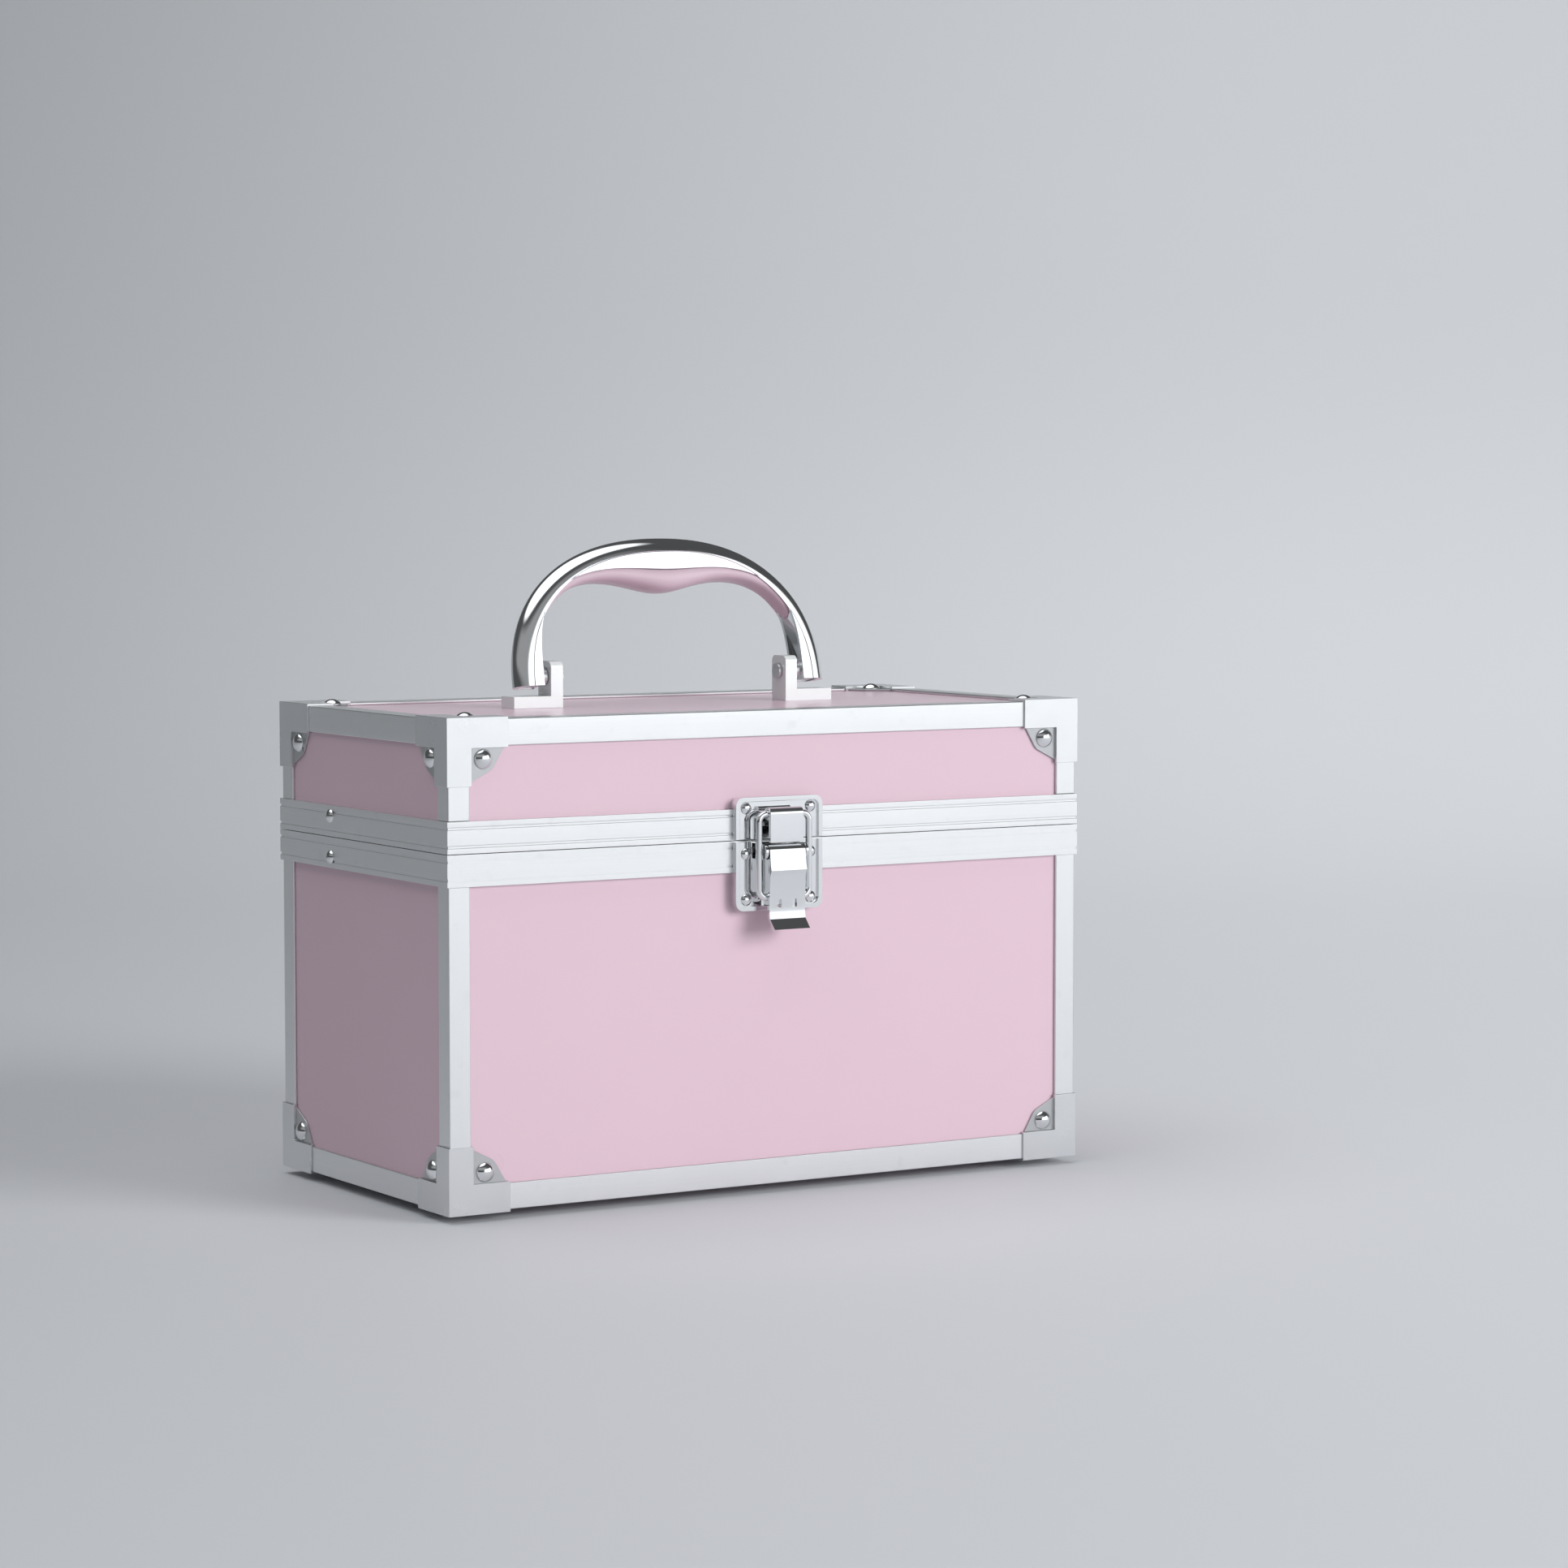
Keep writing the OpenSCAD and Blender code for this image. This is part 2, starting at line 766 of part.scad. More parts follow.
// A latch plate's outline: square at the parting and rounded at its far end, drawn downwards
module plate_outline(reach, inset) {
    w = latch_w - 2 * inset;
    r = latch_r - inset * 0.6;
    low = -reach + inset;
    translate([-w / 2, low + r]) square([w, -latch_gap - low - r]);
    translate([-w / 2 + r, low]) square([w - 2 * r, r + 1]);
    for (s = [-1, 1]) translate([s * (w / 2 - r), low + r]) circle(r = r);
}

// The pressed plate: floor, raised rim, and a flange that goes back to the panel past the band
module latch_plate(reach) {
    union() {
        on_band(0) linear_extrude(latch_t) plate_outline(reach, 0);
        on_band(latch_t) linear_extrude(latch_rim_h) difference() {
            plate_outline(reach, 0);
            plate_outline(reach, latch_rim_w);
            translate([-latch_w / 2 + latch_rim_w, -latch_gap - 2]) square([latch_w - 2 * latch_rim_w, 3]);
        }
        on_band(-plate_drop) linear_extrude(plate_drop) intersection() {
            difference() {
                plate_outline(reach, 0);
                plate_outline(reach, latch_t);
            }
            translate([-latch_w, -2 * reach]) square([2 * latch_w, 2 * reach - band_h - band_gap]);
        }
    }
}

// The two ears that carry the lever's pin
module lever_ears() {
    for (s = [-1, 1]) {
        x = s * (lever_w / 2 + 0.35 + ear_sheet / 2);
        along_x(x - ear_sheet / 2, x + ear_sheet / 2) {
            translate([0, lever_pivot[1] - ear_r]) square([lever_pivot[0], 2 * ear_r]);
            translate(lever_pivot) circle(r = ear_r);
        }
    }
}

module latch_base_plate() {
    color(chrome) placed() difference() {
        union() {
            latch_plate(latch_down);
            lever_ears();
        }
        translate([0, 0, part_z]) bore_x(front_y - lever_pivot[0], lever_pivot[1], hole(lever_pin_d));
        for (at = base_rivets_xz) bore_y(at[0], part_z + at[1], hole(small_shank_d));
    }
}

module latch_rivets(places) {
    shank = latch_t + band_proud + wall_in - 0.2;
    color(chrome) placed() for (at = places) on_band(latch_t) translate([at[0], at[1], 0])
        rivet(small_head_d, small_head_h, small_shank_d, shank);
}

module latch_base_rivets() { latch_rivets(base_rivets_xz); }
module latch_catch_rivets() { latch_rivets(catch_rivets_xz); }

module latch_lever_pin() {
    half = lever_w / 2 + 0.35 + ear_sheet;
    color(steel) placed() along_x(-half, half) translate(lever_pivot) circle(d = lever_pin_d);
}

// The lid's plate, upside down, with the low lip that the bail draws on
module latch_catch_plate() {
    color(chrome) placed() difference() {
        union() {
            translate([0, 0, 2 * part_z]) mirror([0, 0, 1]) latch_plate(latch_up);
            along_x(-6, 6) translate([latch_t / 2, 4.6]) square([1.1 + latch_t / 2, 1.3]);
        }
        for (at = catch_rivets_xz) bore_y(at[0], part_z + at[1], hole(small_shank_d));
    }
}

// The lever's front sheet from its knuckle down to the turned-out tongue, as p and height
lever_line = [[7.3, -3.6], [7.8, -7.6], [8.2, -9.6], [7.4, -11.4], [6.8, -21.8], [7.2, -25.4],
              [latch_reach, -28.6]];

module latch_lever() {
    half = lever_w / 2;
    n = len(lever_line);
    color(chrome) placed() difference() {
        union() {
            along_x(-half, half) {
                translate(lever_pivot) circle(r = knuckle_lever_r);
                polygon(concat(lever_line,
                    [for (i = [n - 1:-1:0]) lever_line[i] - [latch_t, 0]]));
            }
            for (s = [-1, 1]) {
                x = s * (half - latch_t / 2);
                along_x(x - latch_t / 2, x + latch_t / 2) {
                    polygon([[2.6, -3.6], [2.7, bail_low], [6.4, bail_low - 1.6], [6.6, -3.6]]);
                    translate([bail_p, bail_low]) circle(r = 2.1);
                }
            }
        }
        translate([0, 0, part_z]) {
            bore_x(front_y - lever_pivot[0], lever_pivot[1], hole(lever_pin_d));
            bore_x(front_y - bail_p, bail_low, hole(bail_d));
        }
        // two short slots beside the middle of the lever
        for (s = [-1, 1]) on_band(5) translate([s * 2.9, -20.4]) linear_extrude(5)
            square([1.6, 2.6], center = true);
    }
}

module wire(from, to) {
    d = to - from;
    translate(from) rotate([0, 0, atan2(d[1], d[0])]) rotate([0, 90, 0])
        cylinder(d = bail_d, h = norm(d));
}

module wire_bend(start) {
    rotate([0, 0, start]) rotate_extrude(angle = 90)
        translate([bail_bend, 0]) circle(d = bail_d);
}

// A wire loop, open at its lower end, where both ends turn in to the lever
module latch_bail() {
    x = bail_x;
    r = bail_bend;
    end = lever_w / 2 - latch_t - 0.3;
    color(chrome) placed() on_band(bail_p) both_sides() union() {
        wire([0, bail_top, 0], [x - r, bail_top, 0]);
        translate([x - r, bail_top - r, 0]) wire_bend(0);
        wire([x, bail_top - r, 0], [x, bail_low + r, 0]);
        translate([x - r, bail_low + r, 0]) wire_bend(-90);
        wire([x - r, bail_low, 0], [end, bail_low, 0]);
    }
}

// The sheet claw that is curled round the bail's cross bar and hangs down in front of the catch
module latch_claw() {
    half = lever_w / 2 - 0.4;
    curl_r = bail_d / 2 + 1;
    front_p = bail_p + curl_r;
    color(chrome) placed() difference() {
        along_x(-half, half) {
            translate([bail_p, bail_top]) circle(r = curl_r);
            translate([front_p - latch_t, -0.6]) square([latch_t, bail_top + 0.6]);
        }
        along_x(-half - 1, half + 1) translate([bail_p, bail_top]) circle(d = hole(bail_d));
    }
}

// Lid stays ---------------------------------------------------------------------------------

stay_y = back_y - stay_back;
stay_arm = axis_y - stay_y;
stay_r = norm([stay_arm, stay_rise]);
stay_short = 2 * stay_rise;           // rivet to stud, closed
stay_long = 2 * stay_r * sin(lid_open / 2 + atan2(stay_rise, stay_arm));
stay_in = lip_in + 0.4;               // the bar's outer face, clear of the lip
stay_head_d = 6;

// Across the left wall: u is the inset from the rails' outer plane
module across_wall(z) {
    translate([-hx, stay_y, part_z + z]) rotate([0, 90, 0]) children();
}

module stay_pin(z, collar_from) {
    both_sides() across_wall(z) union() {
        translate([0, 0, -band_proud]) mirror([0, 0, 1]) dome(4.8, 1.4);
        translate([0, 0, -band_proud - 0.5])
            cylinder(d = stay_pin_d, h = band_proud + 0.5 + stay_in + stay_t + free_gap + 0.5);
        translate([0, 0, collar_from])
            cylinder(d = stay_head_d - 1, h = stay_in - 0.1 - collar_from);
        translate([0, 0, stay_in + stay_t + free_gap]) cylinder(d = stay_head_d, h = 1);
    }
}

module stay_base_studs() {
    color(chrome) placed() stay_pin(-stay_rise, lip_in + 0.05);
}

module stay_lid_rivets() {
    color(chrome) placed() stay_pin(stay_rise, lining_in + 0.1);
}

// The slotted bar hangs from the lid's rivet; the base's stud runs in its slot
module stay_bar() {
    slot_w = stay_pin_d + 2 * free_gap;
    slot_from = stay_short - free_gap;
    slot_to = stay_long + free_gap;
    bar_l = slot_to + slot_w / 2 + 2.5;
    across_wall(stay_rise) translate([0, 0, stay_in]) linear_extrude(stay_t) difference() {
        union() {
            circle(d = stay_w);
            translate([0, -stay_w / 2]) square([bar_l - stay_w / 2, stay_w]);
            translate([bar_l - stay_w / 2, 0]) circle(d = stay_w);
        }
        circle(d = hole(stay_pin_d));
        translate([slot_from, 0]) circle(d = slot_w);
        translate([slot_from, -slot_w / 2]) square([slot_to - slot_from, slot_w]);
        translate([slot_to, 0]) circle(d = slot_w);
    }
}

module stay_bar_left() {
    color(steel) placed() stay_bar();
}

module stay_bar_right() {
    color(steel) placed() mirror([1, 0, 0]) stay_bar();
}

// Handle brackets ---------------------------------------------------------------------------

arch_a = arch_w / 2;
pivot_z = lid_face + bracket_t + norm([leg_w / 2, pivot_up]) + 0.5;
leg_in = arch_a - leg_t;              // inner face of a handle leg
lug_from = leg_in - 2.1;              // the lug's face beside the ear
ear_out = lug_from - ear_gap;
ear_in = ear_out - ear_t;
bracket_rivet_xs = [ear_out + 3.4, ear_in + bracket_l - 3.4];

module handle_bracket() {
    r = 2;
    difference() {
        union() {
            block([ear_in, handle_back - bracket_w / 2, lid_face],
                  [ear_in + bracket_l, handle_back + bracket_w / 2, lid_face + bracket_t]);
            translate([ear_in, handle_back, lid_face]) rotate([90, 0, 90]) linear_extrude(ear_t) {
                translate([-bracket_w / 2, 0]) square([bracket_w, ear_h - r]);
                translate([-bracket_w / 2 + r, 0]) square([bracket_w - 2 * r, ear_h]);
                for (s = [-1, 1]) translate([s * (bracket_w / 2 - r), ear_h - r]) circle(r = r);
            }
        }
        bore_x(handle_back, pivot_z, hole(pivot_d));
        for (x = bracket_rivet_xs) translate([x, handle_back, lid_face + bracket_t])
            flush_rivet(hole(small_head_d), hole(small_shank_d), 2 * bracket_t);
    }
}

module handle_bracket_left() {
    color(chrome) placed() mirror([1, 0, 0]) handle_bracket();
}

module handle_bracket_right() {
    color(chrome) placed() handle_bracket();
}

module handle_bracket_rivets() {
    shank = bracket_t + panel_t - 0.2;
    color(chrome) placed() both_sides() for (x = bracket_rivet_xs)
        translate([x, handle_back, lid_face + bracket_t])
            flush_rivet(small_head_d, small_shank_d, shank);
}

// Handle ------------------------------------------------------------------------------------

// The arch is drawn in polar form from the middle of its leg ends: t runs from 0 at the right
// leg over the crown at 90 to 180 at the left leg
arch_steps = 40;
dome_steps = 8;

function blend_r(t, a, b, n) =
    pow(pow(abs(cos(t)) / a, n) + pow(abs(sin(t)) / b, n), -1 / n);
function hump(t, half) = abs(t - 90) < half ? pow(cos((t - 90) * 90 / half), 2) : 0;
function arch_out(t) = blend_r(t, arch_a, arch_h, 2.27);
function arch_in(t) = blend_r(t, leg_in, arch_h - crown_t, 3.6) - 1.2 * hump(t, 40);
function half_w(t) = (leg_w + (crown_w - leg_w) * pow(sin(t), 4)) / 2;
function roof(t) = arch_out(t) - 0.55 * dome_h;
function arch_point(t, r, y) = [r * cos(t), y, r * sin(t)];

// A solid swept along the arch: rings is a list of equal closed outlines
module sweep(rings) {
    m = len(rings[0]);
    n = len(rings);
    polyhedron(
        points = [for (ring = rings) each ring],
        faces = concat(
            [[for (j = [0:m - 1]) j]],
            [[for (j = [m - 1:-1:0]) (n - 1) * m + j]],
            [for (i = [0:n - 2], j = [0:m - 1])
                each [[i * m + j, (i + 1) * m + j, (i + 1) * m + (j + 1) % m],
                      [i * m + j, (i + 1) * m + (j + 1) % m, i * m + (j + 1) % m]]]));
}

function shell_ring(t) =
    let (w = half_w(t), out = arch_out(t), edge = out - dome_h, in = arch_in(t), c = w - shell_wall)
    concat(
        [for (k = [0:dome_steps])
            let (f = -90 + 180 * k / dome_steps)
            arch_point(t, edge + dome_h * cos(f), w * sin(f))],
        [arch_point(t, in, w), arch_point(t, in, c), arch_point(t, roof(t), c),
         arch_point(t, roof(t), -c), arch_point(t, in, -c), arch_point(t, in, -w)]);

grip_end = 24;                        // the grip starts at this t on both legs
grip_gap = 0.1;

// How far the grip stands out of the shell's edge: thin at its ends, fullest under the crown
function grip_depth(t) =
    0.6 + (grip_out - 0.6) * sqrt(max(0, sin(180 * (t - grip_end) / (180 - 2 * grip_end))))
        + grip_swell * hump(t, 46);

function grip_ring(t) =
    let (w = half_w(t), c = w - shell_wall - grip_gap, x = w - 0.5, in = arch_in(t) - grip_gap,
         low = in - grip_depth(t))
    [arch_point(t, roof(t) - grip_gap, -c), arch_point(t, roof(t) - grip_gap, c),
     arch_point(t, in, c), arch_point(t, in, x), arch_point(t, in * 0.5 + low * 0.5, x * 0.97),
     arch_point(t, in * 0.2 + low * 0.8, x * 0.78), arch_point(t, low, x * 0.4),
     arch_point(t, low, -x * 0.4), arch_point(t, in * 0.2 + low * 0.8, -x * 0.78),
     arch_point(t, in * 0.5 + low * 0.5, -x * 0.97), arch_point(t, in, -x), arch_point(t, in, -c)];

// Stands the handle on its pivots with its lean
module on_pivots() {
    translate([0, handle_back, pivot_z]) rotate([-handle_lean, 0, 0])
        translate([0, 0, -pivot_up]) children();
}

module handle_shell() {
    color(chrome) placed() on_pivots()
        sweep([for (i = [0:arch_steps]) shell_ring(180 * i / arch_steps)]);
}

module handle_grip() {
    steps = 30;
    color("#D8BCC8") placed() on_pivots()
        sweep([for (i = [0:steps]) grip_ring(grip_end + (180 - 2 * grip_end) * i / steps)]);
}

// A lug fills each leg's channel and carries the pin that turns in the bracket's ear
module handle_lugs() {
    lug_r = leg_w / 2 - shell_wall;
    lug_to = roof(5) - 0.6;
    head_t = 1;
    color(steel) placed() on_pivots() both_sides()
        translate([0, 0, pivot_up]) rotate([0, 90, 0]) union() {
            translate([0, 0, lug_from]) cylinder(r = lug_r - 0.2, h = leg_in - lug_from + 1);
            translate([-lug_r, -lug_r, leg_in + 0.2])
                cube([lug_r + pivot_up - 0.3, 2 * lug_r, lug_to - leg_in - 0.2]);
            translate([0, 0, ear_in - free_gap - head_t / 2])
                cylinder(d = pivot_d, h = lug_from - ear_in + free_gap + head_t / 2 + 1);
            translate([0, 0, ear_in - free_gap - head_t]) cylinder(d = pivot_d + 2, h = head_t);
        }
}

base_front_panel();
base_back_panel();
base_left_panel();
base_right_panel();
base_floor_panel();
base_long_rails();
base_short_rails();
base_corner_rails();
base_front_band();
base_back_band();
base_side_bands();
base_guard_front_left();
base_guard_front_right();
base_guard_back_left();
base_guard_back_right();
base_guard_rivets();
feet();
foot_screws();
base_lining();
hinge_base_leaves();
hinge_pins();
hinge_base_rivets();
latch_base_plate();
latch_base_rivets();
latch_lever_pin();
stay_base_studs();
lid_top_panel();
lid_front_panel();
lid_back_panel();
lid_left_panel();
lid_right_panel();
lid_long_rails();
lid_short_rails();
lid_corner_rails();
lid_front_band();
lid_back_band();
lid_side_bands();
lid_guard_front_left();
lid_guard_front_right();
lid_guard_back_left();
lid_guard_back_right();
lid_guard_rivets();
lid_lining();
mirror_glass();  // mirror
hinge_lid_leaves();
hinge_lid_rivets();
latch_catch_plate();
latch_catch_rivets();
stay_lid_rivets();
handle_bracket_left();
handle_bracket_right();
handle_bracket_rivets();
handle_shell();
handle_grip();
handle_lugs();
latch_lever();
latch_bail();
latch_claw();
stay_bar_left();
stay_bar_right();
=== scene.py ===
"""Finished surfaces, rivets, handle, latch and studio for a small beauty case."""

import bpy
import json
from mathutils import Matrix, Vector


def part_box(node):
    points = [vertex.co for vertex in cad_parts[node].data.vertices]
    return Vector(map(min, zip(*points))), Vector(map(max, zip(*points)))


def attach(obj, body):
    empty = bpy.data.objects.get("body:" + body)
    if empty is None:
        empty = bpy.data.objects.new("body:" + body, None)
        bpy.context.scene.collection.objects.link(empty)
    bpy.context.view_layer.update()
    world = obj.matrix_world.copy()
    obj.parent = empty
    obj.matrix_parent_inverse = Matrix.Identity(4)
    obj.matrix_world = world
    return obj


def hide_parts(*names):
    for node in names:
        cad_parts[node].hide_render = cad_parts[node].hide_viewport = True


bl_info = {
    "name": "Beauty Case Finish",
    "version": (1, 0, 0),
    "blender": (4, 5, 0),
    "location": "3D View > Sidebar > Beauty Case",
    "description": "Finishes the panels, edge frame, rivets, handle and latch of a small beauty case",
    "category": "Object",
}

import json
from math import cos, pi, radians, sin, sqrt

import bmesh
import bpy
from bpy.props import FloatProperty, FloatVectorProperty, PointerProperty
from mathutils import Euler, Matrix, Vector

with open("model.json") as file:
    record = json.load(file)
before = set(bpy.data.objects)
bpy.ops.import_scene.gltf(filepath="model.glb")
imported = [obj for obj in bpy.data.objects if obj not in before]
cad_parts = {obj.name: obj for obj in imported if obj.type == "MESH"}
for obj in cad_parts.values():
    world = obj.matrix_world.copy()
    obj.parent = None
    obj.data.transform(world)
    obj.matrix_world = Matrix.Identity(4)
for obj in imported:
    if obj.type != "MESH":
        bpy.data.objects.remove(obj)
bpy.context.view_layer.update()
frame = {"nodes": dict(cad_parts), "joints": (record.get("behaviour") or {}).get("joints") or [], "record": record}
BODIES = frame["record"]["behaviour"]["bodies"]
BODY_OF = {node: body for body, nodes in BODIES.items() for node in nodes}
JOINT_AT = {joint["name"]: Vector(joint["pos_m"]) for joint in frame["joints"]}
MM = 0.001

# How far the edges of each kind of piece are rounded
EDGES = {
    "panel": 0.15 * MM, "rail": 0.3 * MM, "band": 0.1 * MM, "guard": 0.3 * MM, "foot": 0.5 * MM,
    "lining": 0.4 * MM, "mirror": 0.9 * MM, "stay": 0.3 * MM, "stud": 0.12 * MM, "leaf": 0.22 * MM,
    "pin": 0.25 * MM, "lever": 0.22 * MM, "claw": 0.25 * MM, "lug": 0.25 * MM, "bracket": 0.9 * MM,
    "shell": 0.3 * MM,
}
FLAT_TURN = radians(0.5)    # faces that turn by less are one flat
WELD = 0.002 * MM           # points of a CAD mesh this close are one point
SEAM = 0.001 * MM           # points of a grown mesh this close are one point
THIN_RIM = 0.15 * MM        # the rim under the small rivets' domes


# Node trees ---------------------------------------------------------------------------------

class Wire:
    """A node's output that can stand in a Python expression."""

    def __init__(self, graph, socket):
        self.graph = graph
        self.socket = socket

    def maths(self, operation, *operands):
        return self.graph.node("ShaderNodeMath", {"operation": operation}, dict(enumerate(operands)))

    def __add__(self, other):
        return self.maths("ADD", self, other)

    def __sub__(self, other):
        return self.maths("SUBTRACT", self, other)

    def __rsub__(self, other):
        return self.maths("SUBTRACT", other, self)

    def __mul__(self, other):
        return self.maths("MULTIPLY", self, other)

    def __truediv__(self, other):
        return self.maths("DIVIDE", self, other)

    def __rtruediv__(self, other):
        return self.maths("DIVIDE", other, self)

    __radd__ = __add__
    __rmul__ = __mul__

    def above(self, edge):
        return self.maths("GREATER_THAN", self, edge)

    def least(self, other):
        return self.maths("MINIMUM", self, other)

    def most(self, other):
        return self.maths("MAXIMUM", self, other)

    def size(self):
        return self.maths("ABSOLUTE", self)

    def sine(self):
        return self.maths("SINE", self)

    def cosine(self):
        return self.maths("COSINE", self)

    def arcsine(self):
        return self.maths("ARCSINE", self)

    def between(self, low, high):
        """0 below low, 1 above high, and smooth in between."""
        settings = {"interpolation_type": "SMOOTHSTEP"}
        values = {"Value": self, "From Min": low, "From Max": high}
        return self.graph.node("ShaderNodeMapRange", settings, values)


class Graph:
    """A node tree that is built by calls."""

    def __init__(self, tree):
        self.tree = tree

    def node(self, kind, settings=None, values=None, output=0):
        """Adds a node: its settings first, then the values or wires of its sockets."""
        node = self.tree.nodes.new(kind)
        for name, setting in (settings or {}).items():
            setattr(node, name, setting)
        for key, value in (values or {}).items():
            self.feed(node.inputs[key], value)
        return Wire(self, node.outputs[output])

    def split(self, vector):
        """The three numbers of a vector."""
        first = self.node("ShaderNodeSeparateXYZ", None, {0: vector})
        return [Wire(self, output) for output in first.socket.node.outputs]

    def feed(self, socket, value):
        if isinstance(value, Wire):
            self.tree.links.new(value.socket, socket)
        else:
            socket.default_value = value


class Surface(Graph):
    """A material whose pattern is laid out in the object's own metres."""

    def __init__(self, name):
        self.material = bpy.data.materials.new(name)
        self.material.use_nodes = True
        super().__init__(self.material.node_tree)
        self.shader = self.tree.nodes["Principled BSDF"]
        self.place = self.node("ShaderNodeTexCoord", output="Object")

    def noise(self, scale, detail=2.0, stretch=(1, 1, 1), roughness=0.5):
        """Noise with scale features to the metre; stretch scales the axes apart."""
        place = self.place
        if stretch != (1, 1, 1):
            place = self.node("ShaderNodeMapping", None, {"Vector": place, "Scale": stretch})
        values = {"Vector": place, "Scale": scale, "Detail": detail, "Roughness": roughness}
        return self.node("ShaderNodeTexNoise", None, values)

    def mix(self, share, first, second):
        values = {0: share, 6: tint(first), 7: tint(second)}
        return self.node("ShaderNodeMix", {"data_type": "RGBA"}, values, output=2)

    def bump(self, height, depth):
        """A surface relief that is depth metres from its lowest to its highest point."""
        return self.node("ShaderNodeBump", None, {"Height": height, "Distance": depth, "Strength": 1.0})

    def finish(self, **values):
        """Sets the shader's sockets and hands over the material."""
        for name, value in values.items():
            self.feed(self.shader.inputs[name.replace("_", " ")], value)
        return self.material


def tint(colour):
    """A colour or a wire, as a Mix node takes it."""
    return colour if isinstance(colour, Wire) else (*colour[:3], 1)


def darker(colour, share):
    """A colour times share."""
    return tuple(channel * share for channel in colour[:3])


# Finishes -----------------------------------------------------------------------------------

LAMINATE_DUST = (0.8, 0.76, 0.78)
NICKEL = (0.89, 0.93, 0.92)
RUBBER, RUBBER_DUST = (0.018, 0.018, 0.02), (0.09, 0.088, 0.085)
SILVERING, HAZE = (0.88, 0.91, 0.92), (0.82, 0.86, 0.87)


def pink_laminate(look):
    """Glossy laminate on board: a faint mottle, a fine ripple and a little dust."""
    s = Surface("pink_laminate")
    mottle = s.noise(28, detail=2)
    ripple = s.noise(420, detail=1)
    dust = s.noise(3200, detail=1).between(0.72, 0.8)
    colour = s.mix(mottle, darker(look.laminate, 0.975), look.laminate)
    return s.finish(
        Base_Color=s.mix(dust * 0.3, colour, LAMINATE_DUST),
        Roughness=0.26 + 0.06 * mottle + 0.1 * dust, Specular_IOR_Level=0.3,
        Coat_Weight=0.12, Coat_Roughness=0.1, Normal=s.bump(ripple, 0.01 * MM))


def drawn_aluminium(look, name, stretch):
    """Satin anodised profile with die lines that run along its length."""
    s = Surface(name)
    lines = s.noise(1, detail=3, stretch=stretch, roughness=0.65)
    cloud = s.noise(30, detail=3)
    grime = s.noise(160, detail=4).between(0.6, 0.8)
    colour = s.mix(0.35 * lines + 0.4 * grime, look.aluminium, darker(look.aluminium, 0.86))
    return s.finish(
        Base_Color=colour, Metallic=1.0, Roughness=0.24 + 0.12 * lines + 0.08 * cloud,
        Normal=s.bump(lines, 0.012 * MM))


def pressed_steel(look):
    """Nickel-plated pressings: soft waviness, handling marks, duller plating in the recess, and painted shade
    there.
    """
    s = Surface("pressed_steel")
    wave = s.noise(90, detail=2)
    marks = s.noise(120, detail=3)
    low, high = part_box("base_guard_front_left")[0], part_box("lid_guard_back_right")[1]
    past = [(at - (start + end) / 2).size() - (end - start) / 2
            for at, start, end in zip(s.split(s.place), low, high)]
    inset = past[0].most(past[1]).most(past[2])    # below zero inside the guards' outer planes
    # painted shade: 0 deep in the recess, where the colour is darkened as painted shade and the plating is duller;
    # 1 on the proud faces, which keep the plain steel
    proud_vs_shaded_dull_recess = inset.between(-0.9 * MM, -0.5 * MM)
    colour = s.mix(marks * 0.3, look.steel, darker(look.steel, 0.9))
    return s.finish(
        Base_Color=s.mix(proud_vs_shaded_dull_recess, darker(look.steel, 0.7), colour), Metallic=1.0,
        Roughness=0.33 - 0.13 * proud_vs_shaded_dull_recess + 0.08 * wave + 0.04 * marks, Normal=s.bump(wave, 0.05 * MM))


def chrome_plate(look):
    """Bright chrome: a slight ripple, and smudges where fingers go."""
    s = Surface("chrome_plate")
    smudge = s.noise(70, detail=4).between(0.45, 0.75)
    ripple = s.noise(220, detail=1)
    return s.finish(
        Base_Color=s.mix(smudge * 0.35, look.chrome, darker(look.chrome, 0.9)), Metallic=1.0,
        Roughness=0.05 + 0.09 * smudge, Normal=s.bump(ripple, 0.004 * MM))


def satin_nickel(look):
    """Lacquered satin nickel on the handle's brackets, very finely brushed."""
    s = Surface("satin_nickel")
    brushing = s.noise(1, detail=2, stretch=(1500, 60, 1500))
    cloud = s.noise(80, detail=2)
    return s.finish(
        Base_Color=s.mix(cloud * 0.3, NICKEL, darker(look.steel, 0.98)), Metallic=0.3,
        Roughness=0.2 + 0.06 * brushing, Normal=s.bump(brushing, 0.004 * MM))


def zinc_steel(look):
    """Zinc-plated working parts: duller than the chrome, with a crystalline mottle."""
    s = Surface("zinc_steel")
    cell = {"feature": "F1", "voronoi_dimensions": "3D"}
    spangle = s.node("ShaderNodeTexVoronoi", cell, {"Vector": s.place, "Scale": 900.0})
    rub = s.noise(400, detail=3)
    colour = s.mix(spangle * 0.9, look.steel, darker(look.steel, 0.78))
    return s.finish(
        Base_Color=colour, Metallic=1.0, Roughness=0.26 + 0.14 * rub, Normal=s.bump(rub, 0.01 * MM))


def black_rubber(look):
    """Moulded rubber with a fine grain and pale dust."""
    s = Surface("black_rubber")
    grain = s.noise(2600, detail=2)
    dust = s.noise(240, detail=4).between(0.5, 0.8)
    return s.finish(
        Base_Color=s.mix(dust * 0.5, RUBBER, RUBBER_DUST),
        Roughness=0.66 + 0.2 * grain, Normal=s.bump(grain, 0.05 * MM))


